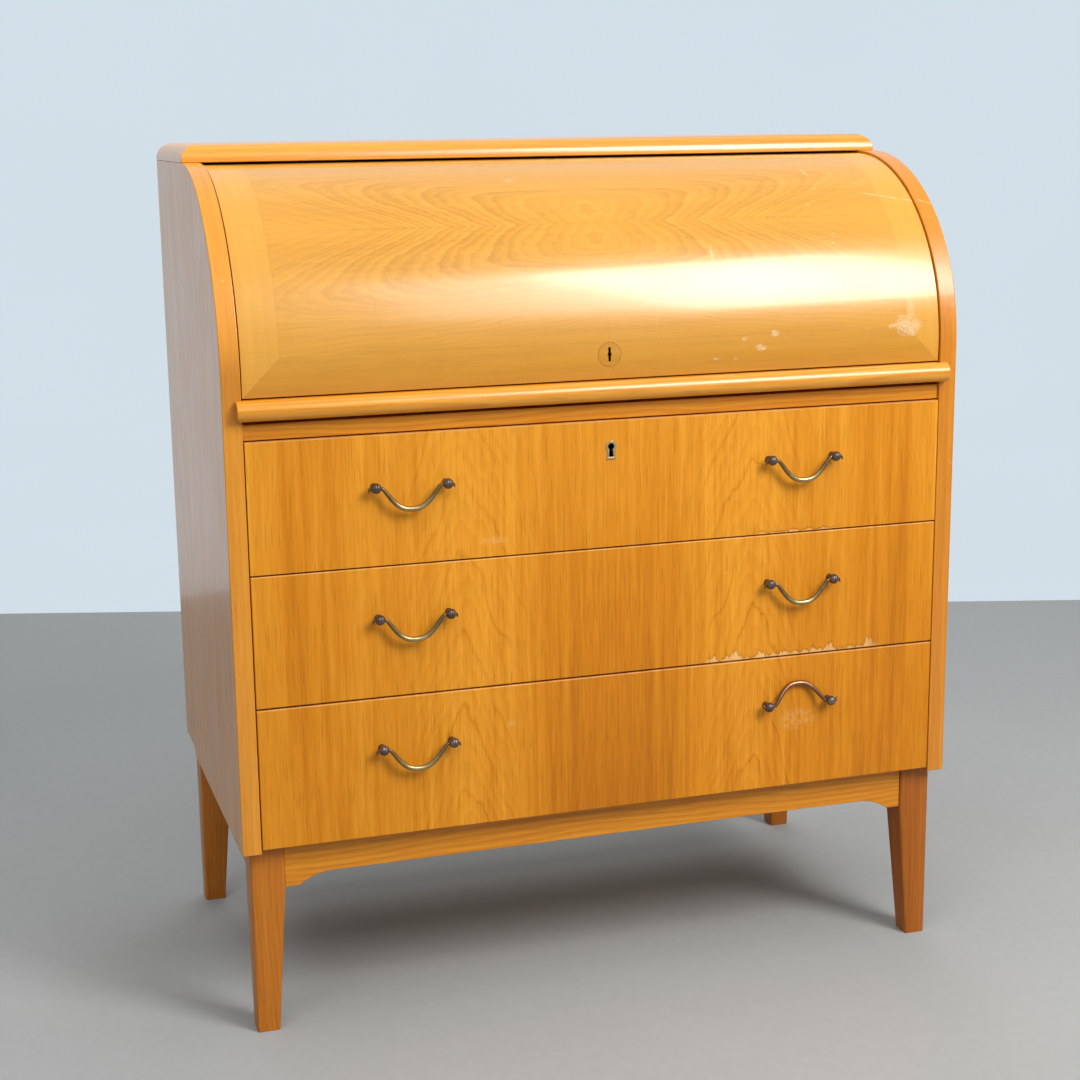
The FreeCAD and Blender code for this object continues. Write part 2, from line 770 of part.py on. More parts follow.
def bail(name, middle, axis_z, lift):
    """A tapered bow on two round journals, turned up by lift degrees from hanging straight down."""
    base = (middle, front - dim.post_reach, axis_z)
    down = (-sin(lift), -cos(lift))
    bow, tip = bail_stations()
    near, far = bow[-1][0], tip[0][0]
    mirrored = [(-x, drop, radius) for x, drop, radius in reversed(bow[1:])]
    parts = [wire(name + "_bow", mirrored + bow, base, down)]
    for hand, sign in handed():
        path = [(x * sign, drop, radius) for x, drop, radius in tip][::sign]
        parts.append(wire(f"{name}_{hand}_tip", path, base, down))
        start = span(sign, near, far)[0]
        place = (middle + start, base[1], base[2])
        parts.append(rod(f"{name}_{hand}_journal", dim.bail_end, far - near, place, RIGHTWARD))
    whole = DOC.addObject("Part::MultiFuse", name + "_whole")
    whole.Shapes = parts
    keep(whole, name)


def bails():
    """All six bails hang, apart from the lowest one on the right, which is turned up."""
    for index, number in enumerate(DRAWERS):
        axis_z = front_lows[index] + front_heights[index] - dim.post_below
        for hand, middle in handle_centres():
            raised = number == "3" and hand == "right"
            lift = dim.bail_lean + HALF_TURN if raised else term(0)
            bail(f"drawer_{number}_{hand}_bail", middle, axis_z, lift)


# Writing leaf


def writing_leaf():
    half = inner - dim.leaf_side_gap
    nose = front - dim.lap_gap
    along = (nose, back_inner - dim.leaf_rear_gap)
    keep(board("leaf", (-half, half), along, (leaf_low, leaf_top)), "leaf_board")
    low = leaf_low - dim.grip_below
    tall = leaf_top - low
    arc = (tall ** 2 / 4 + dim.grip_out ** 2) / (2 * dim.grip_out)
    middle = (low + leaf_top) / 2
    outline = [(nose, leaf_top), (nose - dim.grip_out, middle, arc), (nose, low, arc)]
    reach = inner + dim.grip_lap
    keep(extrusion("grip", "YZ", outline, -reach, reach), "leaf_moulding")
    leaf_forks()


def leaf_forks():
    """Two prongs that stand on the leaf and take the rocker's lower pin between them."""
    middle = pivot_y + dim.rocker_low * sin(dim.rocker_swing)
    gap = dim.pin_radius + dim.fork_play
    wide = gap + dim.fork_prong
    lowest_pin = stud_z - dim.rocker_low - dim.pin_radius
    saddle = (leaf_top + lowest_pin) / 2
    highest_pin = stud_z - dim.rocker_low * cos(dim.rocker_swing) + dim.pin_radius
    outline = [
        (middle - wide, leaf_top), (middle + wide, leaf_top), (middle + wide, highest_pin),
        (middle + gap, highest_pin), (middle + gap, saddle), (middle - gap, saddle),
        (middle - gap, highest_pin), (middle - wide, highest_pin),
    ]
    forks = []
    for hand, sign in handed():
        low, high = span(sign, fork_x, fork_x + dim.fork_thick)
        forks.append(extrusion(f"{hand}_fork", "YZ", outline, low, high))
    keep(group("fork_pair", forks), "leaf_forks")


# Cylinder


def cylinder():
    low_angle = asin((dim.pivot_rise - dim.shell_gap) / shell_out)
    half_turn = (dim.shell_end - low_angle) / 2
    outline = [
        (*about_pivot(shell_in, -low_angle), shell_in),
        about_pivot(shell_out, -low_angle),
        (*about_pivot(shell_out, half_turn), -shell_out),
        (*about_pivot(shell_out, dim.shell_end), -shell_out),
        about_pivot(shell_in, dim.shell_end),
        (*about_pivot(shell_in, half_turn), shell_in),
    ]
    reach = inner - dim.shell_side_gap
    shell = extrusion("shell", "YZ", outline, -reach, reach)
    key_z = pivot_z + dim.key_rise
    key_at = (term(0), front, key_z)
    deep = dim.shell_inset + 2 * dim.shell_thick
    hole = rod("disc_hole", dim.disc_radius + dim.disc_play, deep, key_at, BACKWARD)
    plug = rod("disc_plug", dim.disc_radius, deep, key_at, BACKWARD)
    keep(cut("bored_shell", shell, hole), "cylinder_shell")
    disc = DOC.addObject("Part::Common", "disc")
    disc.Base = shell
    disc.Tool = plug
    slot = board("disc_slot", (-dim.key_slot_wide / 2, dim.key_slot_wide / 2), (front, front + deep),
                 (key_z - dim.key_slot_high / 2, key_z + dim.key_slot_high / 2))
    widening = rod("disc_widening", dim.key_slot_round, deep, key_at, BACKWARD)
    keep(cut("slotted_disc", disc, fuse("disc_keyhole", slot, widening)), "keyhole_disc")
    cheeks()
    batten()


def cheeks():
    """Sector boards inside the shell's ends, with a bore for the pivot and a slot for the rocker."""
    rim = shell_in - dim.glue_line
    low = -dim.cheek_low
    high = dim.shell_end - dim.cheek_low
    middle = (low + high) / 2
    outline = [
        (*about_pivot(dim.hub_radius, low), -dim.hub_radius),
        about_pivot(rim, low),
        (*about_pivot(rim, middle), -rim),
        (*about_pivot(rim, high), -rim),
        about_pivot(dim.hub_radius, high),
        (*about_pivot(dim.hub_radius, middle + HALF_TURN), -dim.hub_radius),
    ]
    pin_angle = 90 - half_open
    pin_out = dim.stud_rise + rocker_high
    pin_in = sqrt((rocker_high * sin(dim.rocker_swing)) ** 2
                  + (dim.stud_rise + rocker_high * cos(dim.rocker_swing)) ** 2)
    near = pin_in - dim.pin_radius - dim.slot_end_play
    far = pin_out + dim.pin_radius + dim.slot_end_play
    half = dim.pin_radius + dim.slot_play
    slot = []
    for radius, side in ((near, -half), (far, -half), (far, half), (near, half)):
        y, z = about_pivot(radius, pin_angle)
        slot.append((y + side * sin(pin_angle), z + side * cos(pin_angle)))
    bore = ((pivot_y, pivot_z), dim.pivot_radius + dim.pivot_play)
    for hand, sign in handed():
        ends = span(sign, cheek_x, cheek_x + dim.cheek_thick)
        plate = extrusion(f"{hand}_sector", "YZ", outline, *ends, holes=[slot], bores=[bore])
        keep(plate, f"{hand}_cylinder_cheek")


def batten():
    """Rail glued behind the lower edge of the shell, with the lock on its back."""
    rim = shell_in - dim.glue_line
    low = pivot_z - dim.batten_low
    high = pivot_z + dim.batten_high
    face_low = pivot_y - sqrt(rim ** 2 - dim.batten_low ** 2)
    face_high = pivot_y - sqrt(rim ** 2 - dim.batten_high ** 2)
    rear = pivot_y - rim + dim.batten_thick
    outline = [(face_low, low, rim), (rear, low), (rear, high), (face_high, high)]
    reach = inner - dim.batten_margin
    keep(extrusion("batten", "YZ", outline, -reach, reach), "cylinder_rail")
    half = dim.lock_wide / 2
    key_z = pivot_z + dim.key_rise
    case_z = (key_z - dim.lock_high / 2, key_z + dim.lock_high / 2)
    case = board("fall_lock_case", (-half, half), (rear, rear + dim.lock_thick), case_z)
    half_bolt = dim.bolt_wide / 2
    thin = dim.lock_thick / 4
    tongue = board("fall_lock_tongue", (-half_bolt, half_bolt), (rear + thin, rear + 3 * thin),
                   (case_z[0] - dim.bolt_out, case_z[0]))
    keep(fuse("fall_lock", case, tongue), "cylinder_lock")


def pivots():
    """Flanged pins on the side panels that the cheeks turn on."""
    pins = []
    for hand, sign in handed():
        flange_ends = span(sign, inner - dim.flange_thick, inner)
        pin_ends = span(sign, cheek_x + dim.layer_gap, inner)
        flange = rod(f"{hand}_flange", dim.flange_radius, dim.flange_thick,
                     (flange_ends[0], pivot_y, pivot_z), RIGHTWARD)
        pin = rod(f"{hand}_pivot", dim.pivot_radius, pin_ends[1] - pin_ends[0],
                  (pin_ends[0], pivot_y, pivot_z), RIGHTWARD)
        pins.append(fuse(f"{hand}_pivot_pin", flange, pin))
    keep(group("pivot_pair", pins), "cylinder_pivot_pins")


# Rocker linkage


def rockers():
    """Flat levers on studs: the upper pin drives the cheek, the lower pin follows the leaf's fork."""
    for hand, sign in handed():
        body = DOC.addObject("PartDesign::Body", f"{hand}_lever")
        half = dim.rocker_wide / 2
        outline = [
            (-half, rocker_high, half), (-half, -dim.rocker_low),
            (term(0), -dim.rocker_low - half, half), (half, -dim.rocker_low, half),
            (half, rocker_high), (term(0), rocker_high + half, half),
        ]
        bore = ((term(0), term(0)), dim.pin_radius + dim.stud_play)
        outward = sign > 0
        add_pad(body, f"{hand}_bar", "YZ", dim.rocker_thick, outline=outline, bores=[bore], away=not outward)
        upper = ((term(0), rocker_high), dim.pin_radius)
        lower = ((term(0), -dim.rocker_low), dim.pin_radius)
        reach_out = dim.rocker_thick + dim.cheek_thick
        reach_in = dim.layer_gap + dim.fork_thick
        add_pad(body, f"{hand}_upper", "YZ", reach_out, circle=upper, away=not outward)
        add_pad(body, f"{hand}_lower", "YZ", reach_in, circle=lower, away=outward)
        body.Placement.Rotation = FreeCAD.Rotation(X_AXIS, dim.rocker_swing.value)
        bind(body, "Placement.Rotation.Angle", dim.rocker_swing)
        move(body, (rocker_x * sign, pivot_y, stud_z))
        keep(body, f"{hand}_rocker")
    studs = []
    for hand, sign in handed():
        ends = span(sign, end_x, rocker_x + dim.rocker_thick)
        studs.append(rod(f"{hand}_stud", dim.pin_radius, ends[1] - ends[0],
                         (ends[0], pivot_y, stud_z), RIGHTWARD))
    keep(group("stud_pair", studs), "rocker_studs")


# Pigeonhole fitting


def fitting_floor():
    """Fixed floor over the back of the leaf, notched where the forks and the rockers run."""
    fork_rear = (pivot_y + dim.rocker_low * sin(dim.rocker_swing) + dim.pin_radius + dim.fork_play
                 + dim.fork_prong + dim.layer_gap)
    near = fork_x - dim.layer_gap
    far = cheek_x
    outline = [
        (-inner, deck_front), (-far, deck_front), (-far, fork_rear), (-near, fork_rear), (-near, deck_front),
        (near, deck_front), (near, fork_rear), (far, fork_rear), (far, deck_front), (inner, deck_front),
        (inner, back_inner), (-inner, back_inner),
    ]
    keep(extrusion("deck", "XY", outline, deck_low, deck_top), "fitting_floor")


def fitting():
    fitting_floor()
    tip = pivot_y - sqrt(dim.end_arc ** 2 - (pivot_z - deck_low) ** 2)
    crest = pivot_y - sqrt(dim.end_arc ** 2 - dim.end_high ** 2)
    heel = deck_front - dim.deck_gap
    outline = [
        (tip, deck_low, dim.end_arc), (heel, deck_low), (heel, deck_top), (fit_rear, deck_top),
        (fit_rear, fit_top), (crest, fit_top),
    ]
    for hand, sign in handed():
        ends = span(sign, bay_x, end_x)
        keep(extrusion(f"{hand}_end", "YZ", outline, *ends), f"{hand}_fitting_end")
    keep(board("fit_back_board", (-end_x, end_x), (fit_rear, fit_rear + dim.fit_back_thick),
               (deck_top, fit_top)), "fitting_back")
    across = (-bay_x, bay_x)
    along = (fit_y, fit_rear)
    shelf_low = deck_top + dim.bay_high
    shelf = board("lower_shelf", across, along, (shelf_low, shelf_low + dim.fit_board))
    lid = board("upper_shelf", across, along, (fit_top - dim.fit_board, fit_top))
    keep(group("shelf_pair", [shelf, lid]), "fitting_shelves")
    half = dim.fit_board / 2
    stiles = []
    for hand, sign in handed():
        edge = bay_x - dim.bay_wide
        stiles.append(board(f"{hand}_stile", span(sign, edge - dim.fit_board, edge), along,
                            (deck_top, shelf_low)))
    spacing = bay_x / 2
    for column in (-1, 0, 1):
        x = spacing * column
        stiles.append(board(f"column_{column + 2}", (x - half, x + half), along,
                            (shelf_low + dim.fit_board, fit_top - dim.fit_board)))
    keep(group("stile_set", stiles), "fitting_dividers")


def trays():
    """Small drawers in the lower outer bays of the fitting, each with a turned knob."""
    for hand, sign in handed():
        near = bay_x - dim.bay_wide + dim.tray_gap
        far = bay_x - dim.tray_gap
        low = deck_top + dim.tray_play
        top = deck_top + dim.bay_high - dim.tray_gap
        rear = fit_rear - dim.tray_gap
        name = f"{hand}_tray"
        face = (fit_y, fit_y + dim.tray_front)
        parts = [board(name + "_face", span(sign, near, far), face, (low, top))]
        floor_top = low + dim.tray_floor
        parts.append(board(name + "_floor", span(sign, near, far), (face[1], rear), (low, floor_top)))
        for wall, (a, b) in (("near", (near, near + dim.tray_wall)), ("far", (far - dim.tray_wall, far))):
            parts.append(board(f"{name}_{wall}", span(sign, a, b), (face[1], rear), (floor_top, top)))
        inside = span(sign, near + dim.tray_wall, far - dim.tray_wall)
        parts.append(board(name + "_rear", inside, (rear - dim.tray_wall, rear), (floor_top, top)))
        parts.append(knob(name, (near + far) / 2 * sign, (low + top) / 2))
        keep(group(name, parts), f"small_drawer_{hand}")


def knob(name, x, z):
    half = dim.knob_out / 2
    neck = rod(name + "_neck", dim.knob_radius * 0.55, half, (x, fit_y, z), FORWARD)
    head = rod(name + "_head", dim.knob_radius, half, (x, fit_y - half, z), FORWARD)
    return fuse(name + "_knob", neck, head)


def check_all():
    """Stop if any object failed, or a sub-part has no valid solid."""
    for thing in DOC.Objects:
        if {"Invalid", "Error"} & set(thing.State):
            raise RuntimeError(f"{thing.Label} failed: {thing.State}")
    for piece in PIECES:
        shape = piece.Shape
        if shape.isNull() or not shape.isValid() or not shape.Solids:
            raise RuntimeError(f"{piece.Label} has no valid solid")


def main():
    side_panels()
    top_board()
    case_boards()
    legs()
    aprons()
    for index, number in enumerate(DRAWERS):
        drawer(number, index)
    drawer_runners()
    bails()
    writing_leaf()
    cylinder()
    pivots()
    rockers()
    fitting()
    trays()
    DOC.recompute()
    check_all()
    os.makedirs("parts", exist_ok=True)
    for piece in PIECES:
        piece.Shape.exportStep(f"parts/{piece.Label}.step")
    print(f"{len(PIECES)} sub-parts written")


main()
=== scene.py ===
import math

import bmesh
import bpy
from mathutils import Matrix, Vector


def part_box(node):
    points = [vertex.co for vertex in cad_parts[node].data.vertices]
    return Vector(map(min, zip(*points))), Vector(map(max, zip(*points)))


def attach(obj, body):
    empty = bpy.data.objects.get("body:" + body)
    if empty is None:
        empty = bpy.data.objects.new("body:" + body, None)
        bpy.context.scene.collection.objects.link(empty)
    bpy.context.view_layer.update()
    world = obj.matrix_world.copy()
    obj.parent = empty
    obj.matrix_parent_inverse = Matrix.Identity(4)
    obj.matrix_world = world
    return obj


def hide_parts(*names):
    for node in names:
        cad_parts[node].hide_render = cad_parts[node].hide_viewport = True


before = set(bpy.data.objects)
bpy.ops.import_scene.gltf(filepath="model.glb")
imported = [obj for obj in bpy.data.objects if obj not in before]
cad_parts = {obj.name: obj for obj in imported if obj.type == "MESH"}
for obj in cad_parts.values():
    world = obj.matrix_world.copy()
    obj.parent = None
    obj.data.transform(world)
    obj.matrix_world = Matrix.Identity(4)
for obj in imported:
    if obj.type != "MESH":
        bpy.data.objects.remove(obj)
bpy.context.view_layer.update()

# Secretary desk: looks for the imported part. Metres, the same frame as the part.

HANDS = ("left", "right")
NUMBERS = (1, 2, 3)

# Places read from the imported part, and the shell's wall and upper edge, which its box doesn't give
PIVOT = sum(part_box("cylinder_pivot_pins"), Vector()) / 2
PANEL_LOW, PANEL_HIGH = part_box("left_side_panel")
SHELL_LOW, SHELL_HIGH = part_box("cylinder_shell")
DISC_LOW, DISC_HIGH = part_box("keyhole_disc")
MOULD_LOW, MOULD_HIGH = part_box("leaf_moulding")
FRONT = PANEL_LOW.y
ARC = PIVOT.y - FRONT
SHELL_OUT = PIVOT.y - SHELL_LOW.y
SHELL_THICK = 0.009
SHELL_TOP = math.radians(94)
SHELL_FOOT = -math.asin((PIVOT.z - SHELL_LOW.z) / SHELL_OUT)

# The photograph's camera, from a fit of the case's corners
EYE = Vector((-0.75467, -2.08586 + FRONT, 1.04774))
YAW, PITCH, ROLL = 0.3092, 0.2144, -0.0128
PHOTO_PIXELS = 1080
FOCAL_PIXELS = 1927.96
SENSOR = 36


class Value:
    """A number on a shader wire, with the usual arithmetic."""

    def __init__(self, graph, socket):
        self.graph = graph
        self.socket = socket

    def __add__(self, other):
        return self.graph.math("ADD", self, other)

    def __sub__(self, other):
        return self.graph.math("SUBTRACT", self, other)

    def __mul__(self, other):
        return self.graph.math("MULTIPLY", self, other)

    def __truediv__(self, other):
        return self.graph.math("DIVIDE", self, other)

    def __radd__(self, other):
        return self.graph.math("ADD", other, self)

    def __rsub__(self, other):
        return self.graph.math("SUBTRACT", other, self)

    def __rmul__(self, other):
        return self.graph.math("MULTIPLY", other, self)

    def __abs__(self):
        return self.graph.math("ABSOLUTE", self)


class Graph:
    """A node tree whose nodes are made by short calls."""

    def __init__(self, tree):
        self.tree = tree

    def put(self, socket, value):
        """Wire a Value to the socket, or set a plain number or colour on it."""
        if isinstance(value, Value):
            self.tree.links.new(value.socket, socket)
        else:
            socket.default_value = value

    def math(self, operation, a, b=0.0):
        node = self.tree.nodes.new("ShaderNodeMath")
        node.operation = operation
        for socket, value in zip(node.inputs, (a, b)):
            self.put(socket, value)
        return Value(self, node.outputs[0])

    def smooth(self, value, low, high):
        """0 below low, 1 above high, and a smooth step between them."""
        node = self.tree.nodes.new("ShaderNodeMapRange")
        node.interpolation_type = "SMOOTHSTEP"
        self.put(node.inputs["Value"], value)
        self.put(node.inputs["From Min"], low)
        self.put(node.inputs["From Max"], high)
        return Value(self, node.outputs["Result"])

    def least(self, a, b):
        return self.math("MINIMUM", a, b)

    def most(self, *values):
        """The greatest of all the values."""
        greatest = values[0]
        for value in values[1:]:
            greatest = self.math("MAXIMUM", greatest, value)
        return greatest

    def above(self, a, b):
        return self.math("GREATER_THAN", a, b)

    def fraction(self, value):
        return self.math("FRACT", value)

    def place(self):
        """X, Y and Z of the surface point in the part's frame, at rest."""
        where = self.tree.nodes.new("ShaderNodeTexCoord")
        split = self.tree.nodes.new("ShaderNodeSeparateXYZ")
        self.tree.links.new(where.outputs["Object"], split.inputs[0])
        return [Value(self, socket) for socket in split.outputs]

    def seen(self):
        """1 where the camera, a reflection or glass looks, 0 for light on its way to a matt surface."""
        path = self.tree.nodes.new("ShaderNodeLightPath")
        kinds = ("Is Camera Ray", "Is Glossy Ray", "Is Transmission Ray")
        return self.most(*[Value(self, path.outputs[kind]) for kind in kinds])

    def vector(self, x, y, z):
        node = self.tree.nodes.new("ShaderNodeCombineXYZ")
        for socket, value in zip(node.inputs, (x, y, z)):
            self.put(socket, value)
        return Value(self, node.outputs[0])

    def noise(self, x, y, z, detail=2.0, roughness=0.5):
        node = self.tree.nodes.new("ShaderNodeTexNoise")
        node.inputs["Scale"].default_value = 1.0
        node.inputs["Detail"].default_value = detail
        node.inputs["Roughness"].default_value = roughness
        self.put(node.inputs["Vector"], self.vector(x, y, z))
        return Value(self, node.outputs["Fac"])

    def ramp(self, value, places, colours):
        """Colour that runs through the colours, each reached where the value is at its place."""
        node = self.tree.nodes.new("ShaderNodeValToRGB")
        band = node.color_ramp
        while len(band.elements) < len(places):
            band.elements.new(0.5)
        for element, place, colour in zip(band.elements, places, colours):
            element.position = place
            element.color = (*colour, 1)
        self.put(node.inputs["Fac"], value)
        return Value(self, node.outputs["Color"])

    def mix(self, share, a, b):
        """Colour a where the share is 0, and b where it is 1."""
        node = self.tree.nodes.new("ShaderNodeMix")
        node.data_type = "RGBA"
        self.put(node.inputs["Factor"], share)
        sides = [socket for socket in node.inputs if socket.type == "RGBA"]
        for socket, value in zip(sides, (a, b)):
            self.put(socket, value if isinstance(value, Value) else (*value, 1))
        return Value(self, [socket for socket in node.outputs if socket.type == "RGBA"][0])


class Surface(Graph):
    """A material with one shader."""

    def __init__(self, name):
        self.material = bpy.data.materials.new(name)
        self.material.use_nodes = True
        super().__init__(self.material.node_tree)
        self.tree.nodes.clear()
        output = self.tree.nodes.new("ShaderNodeOutputMaterial")
        self.shader = self.tree.nodes.new("ShaderNodeBsdfPrincipled")
        self.tree.links.new(self.shader.outputs["BSDF"], output.inputs["Surface"])

    def set(self, **inputs):
        """Shader inputs by name, with underscores for spaces."""
        for name, value in inputs.items():
            self.put(self.shader.inputs[name.replace("_", " ")], value)

    def bump(self, height, depth, strength):
        node = self.tree.nodes.new("ShaderNodeBump")
        node.inputs["Strength"].default_value = strength
        node.inputs["Distance"].default_value = depth
        self.put(node.inputs["Height"], height)
        self.put(self.shader.inputs["Normal"], Value(self, node.outputs["Normal"]))


# Colours, linear
HONEY = ((0.80, 0.330, 0.024), (0.640, 0.222, 0.0070), (0.40, 0.105, 0.0020))
GOLD = ((0.72, 0.345, 0.036), (0.585, 0.258, 0.014), (0.40, 0.156, 0.005))
WARM = ((0.84, 0.372, 0.034), (0.69, 0.262, 0.0125), (0.45, 0.130, 0.0035))
DEEP = ((0.62, 0.210, 0.0180), (0.48, 0.145, 0.0065), (0.28, 0.066, 0.0020))
# A darker copy of DEEP: painted shade on the right legs
SHADED_DEEP = ((0.50, 0.155, 0.0120), (0.37, 0.098, 0.0045), (0.22, 0.048, 0.0016))
PALE = ((0.76, 0.52, 0.26), (0.66, 0.42, 0.18), (0.50, 0.29, 0.11))
PLY = ((0.70, 0.47, 0.23), (0.60, 0.37, 0.16), (0.45, 0.26, 0.10))
BRASS = ((0.040, 0.024, 0.012), (0.16, 0.095, 0.040), (0.62, 0.48, 0.24))
BRONZE = ((0.040, 0.030, 0.030), (0.150, 0.110, 0.098), (0.46, 0.38, 0.32))
PORE = (0.20, 0.055, 0.003)
# Pale colour of real water marks and knocks, also used for the painted highlight on the drawers' top edges
STAIN_AND_HIGHLIGHT = (0.86, 0.62, 0.30)
CHIP = (0.92, 0.80, 0.60)
BURNT = (0.22, 0.060, 0.006)
# Near black: painted shade inside holes and slots
HOLE_SHADE = (0.010, 0.007, 0.005)


def finish_wood(g, colour, grain, pores, polish, relief=0.30):
    """Shared surface of all wood: base colour, uneven sheen, and open pores."""
    coat = 0.9 * max(polish - 0.6, 0.0)
    g.set(Base_Color=colour, Specular_IOR_Level=0.12 + 0.42 * polish, Coat_Weight=coat, Coat_Roughness=0.12)
    x, y, z = g.place()
    smear = g.noise(x * 9, y * 9, z * 9, detail=3)
    g.set(Roughness=max(0.50 - 0.22 * polish, 0.25) + (smear - 0.5) * 0.14 + pores * 0.12 * relief)
    g.bump(grain * 0.35 - pores, 0.00025, relief)


def grain_parts(g, along, across, depth, seed):
    """Broad streaks, narrow veins, fine fibres and short pores that all run along the grain."""
    streak = g.noise(along * 0.7 + seed, across * 19, depth * 19, detail=4, roughness=0.6)
    vein = g.noise(along * 3.0 + seed, across * 95, depth * 95, detail=3, roughness=0.6)
    fibre = g.noise(along * 14 + seed, across * 330, depth * 330, detail=2)
    pore = g.noise(along * 26, across * 700 + seed, depth * 700, detail=1)
    return streak, (vein - 0.5) * 0.95 + (fibre - 0.5) * 0.55, 1 - g.smooth(pore, 0.28, 0.44)


def rings(g, where, period):
    """Growth rings: each one darkens slowly and then ends in a crisp late-wood line."""
    share = g.fraction(where / period)
    return g.smooth(share, 0.10, 0.88) * (1 - g.smooth(share, 0.90, 1.0))


def wood(name, along, tone, seed=0.0, period=0.009, figure=0.30, streaks=0.55, polish=0.6, relief=0.30,
         sway=0.045):
    """Board with its fibres along one axis; sway is how far the rings wander from straight."""
    g = Surface(name)
    place = g.place()
    first, second = [place[i] for i in range(3) if i != along]
    run = place[along]
    bend = g.noise(run * 1.7 + seed, first * 6, second * 6, detail=2) - 0.5
    ripple = g.noise(run * 12 + seed, first * 55, second * 55, detail=2) - 0.5
    ring = rings(g, first + second * 0.8 + bend * sway + ripple * 0.004, period)
    streak, fibre, pores = grain_parts(g, run, first, second, seed)
    shade = 0.34 + ring * figure + (streak - 0.5) * streaks + fibre * 0.6
    colour = g.ramp(shade, (0.12, 0.50, 0.95), tone)
    colour = g.mix(pores * 0.20, colour, PORE)
    finish_wood(g, colour, fibre, pores, polish, relief)
    return g.material


def blot(g, u, v, centre, size):
    """1 in the middle of an oval spot, falling to 0 at its edge."""
    du = (u - centre[0]) / size[0]
    dv = (v - centre[1]) / size[1]
    return 1 - g.smooth(du * du + dv * dv, 0.25, 1.0)


def speckle(g, u, v, fine, low, high, seed):
    """Ragged patches of 1 on 0; a finer number makes them smaller."""
    return g.smooth(g.noise(u * fine + seed, v * fine, seed, detail=4, roughness=0.6), low, high)


# Crown figure of the drawers: its middle in X, steepness, blunt tips, and height from line to line
CROWN_X = 0.181
CROWN_SLOPE = 2.7
CROWN_BLUNT = 0.00012
CROWN_PERIOD = 0.098
# Height below which the fronts grow darker: painted shade for the light falling off lower down
SHADE_BELOW = 0.62
# How far behind the drawer's face the keyway's painted shade starts
KEYWAY_DEEP = 0.0012


def drawer_figure(g, x, z):
    """Shade, fibres and pores of upright veneer that is mirrored at the middle, with painted shade lower down
    and to the right.
    """
    half = abs(x)
    drift = g.noise(z * 2.2, half * 3, 4.0, detail=2) - 0.5
    feather = g.noise(z * 16, half * 60, 1.5, detail=3, roughness=0.6) - 0.5
    off = half - CROWN_X + drift * 0.045
    slope = g.math("SQRT", off * off + CROWN_BLUNT) * CROWN_SLOPE
    wander = g.noise(z * 7, half * 22, 6.5, detail=3, roughness=0.6) - 0.5
    crown = z + slope + wander * 0.11 + feather * 0.020 + drift * 0.12
    share = g.fraction(crown / CROWN_PERIOD)
    line = g.smooth(share, 0.92, 0.972) * (1 - g.smooth(share, 0.978, 1.0))
    shown = g.smooth(g.noise(z * 10, x * 11, 9.0, detail=2), 0.36, 0.60)
    inner = rings(g, crown + feather * 0.012, 0.033)
    near = 1 - g.smooth(abs(off), 0.035, 0.095)
    streak, fibre, pores = grain_parts(g, z, half, 0.0, 2.0)
    middle = 1 - g.smooth(half + (streak - 0.5) * 0.05, 0.030, 0.125)
    outer = g.smooth(half, 0.29, 0.36) * (1 - g.smooth(half, 0.385, 0.41))
    shade = 0.25 + line * shown * near * 0.24 + (inner - 0.4) * 0.10 * near
    shade = shade + (streak - 0.5) * (0.80 - middle * 0.40) + fibre * 0.85
    # Painted shade: darker lower down and towards the right, standing in for less light there; the darker
    # middle band is the veneer's own tone
    low = SHADE_BELOW - z
    shade = shade + middle * (0.13 + low * 0.62) + outer * 0.16 + low * 0.42 + x * (0.08 + low * 0.40)
    return shade, fibre, pores


def drawer_veneer():
    """Veneer that runs on through all three drawer fronts, with its wear, a painted highlight along the top
    edges, and painted shade in the keyway.
    """
    g = Surface("veneer_drawer_fronts")
    x, y, z = g.place()
    shade, fibre, pores = drawer_figure(g, x, z)
    colour = g.ramp(shade, (0.06, 0.48, 0.98), HONEY)
    colour = g.mix(pores * 0.26, colour, PORE)
    pale, brown = drawer_marks(g, x, z)
    colour = g.mix(brown, colour, BURNT)
    # Real water marks and knocks, with the painted highlight along the drawers' top edges
    colour = g.mix(g.most(pale, drawer_edge_highlight(g, x, z)), colour, STAIN_AND_HIGHLIGHT)
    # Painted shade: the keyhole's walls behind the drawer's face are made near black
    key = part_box("drawer_escutcheon")
    keyway_shade = g.above(key[1].x, abs(x)) * g.above(z, key[0].z) * g.above(key[1].z, z)
    colour = g.mix(keyway_shade * g.above(y, FRONT + KEYWAY_DEEP), colour, HOLE_SHADE)
    finish_wood(g, colour, fibre, pores, 0.28)
    return g.material


def drawer_edge_highlight(g, x, z):
    """Painted highlight: a pale line along the top edges of the drawer fronts, standing in for light caught
    by the edges.
    """
    # Painted highlight, stronger in some stretches than in others
    rubbed = 0.35 + 0.65 * g.smooth(g.noise(x * 30, 2.0, 5.0, detail=3), 0.35, 0.6)
    worn = []
    for number in NUMBERS:
        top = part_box(f"drawer_{number}_front")[1].z
        worn.append(g.smooth(z, top - 0.0017, top - 0.0008) * g.above(top + 0.0005, z) * rubbed * 0.3)
    return g.most(*worn)


# Water marks: drawer, two ends in X, height, strength
WATER_MARKS = ((2, 0.105, 0.365, 0.020, 0.60), (1, 0.17, 0.31, 0.008, 0.50))
# Knocks: middle in X and Z, size, strength
KNOCKS = (
    ((-0.145, 0.575), (0.022, 0.005), 0.18), ((0.243, 0.318), (0.030, 0.016), 0.16),
    ((0.148, 0.512), (0.006, 0.002), 0.45), ((-0.125, 0.352), (0.012, 0.005), 0.16),
)


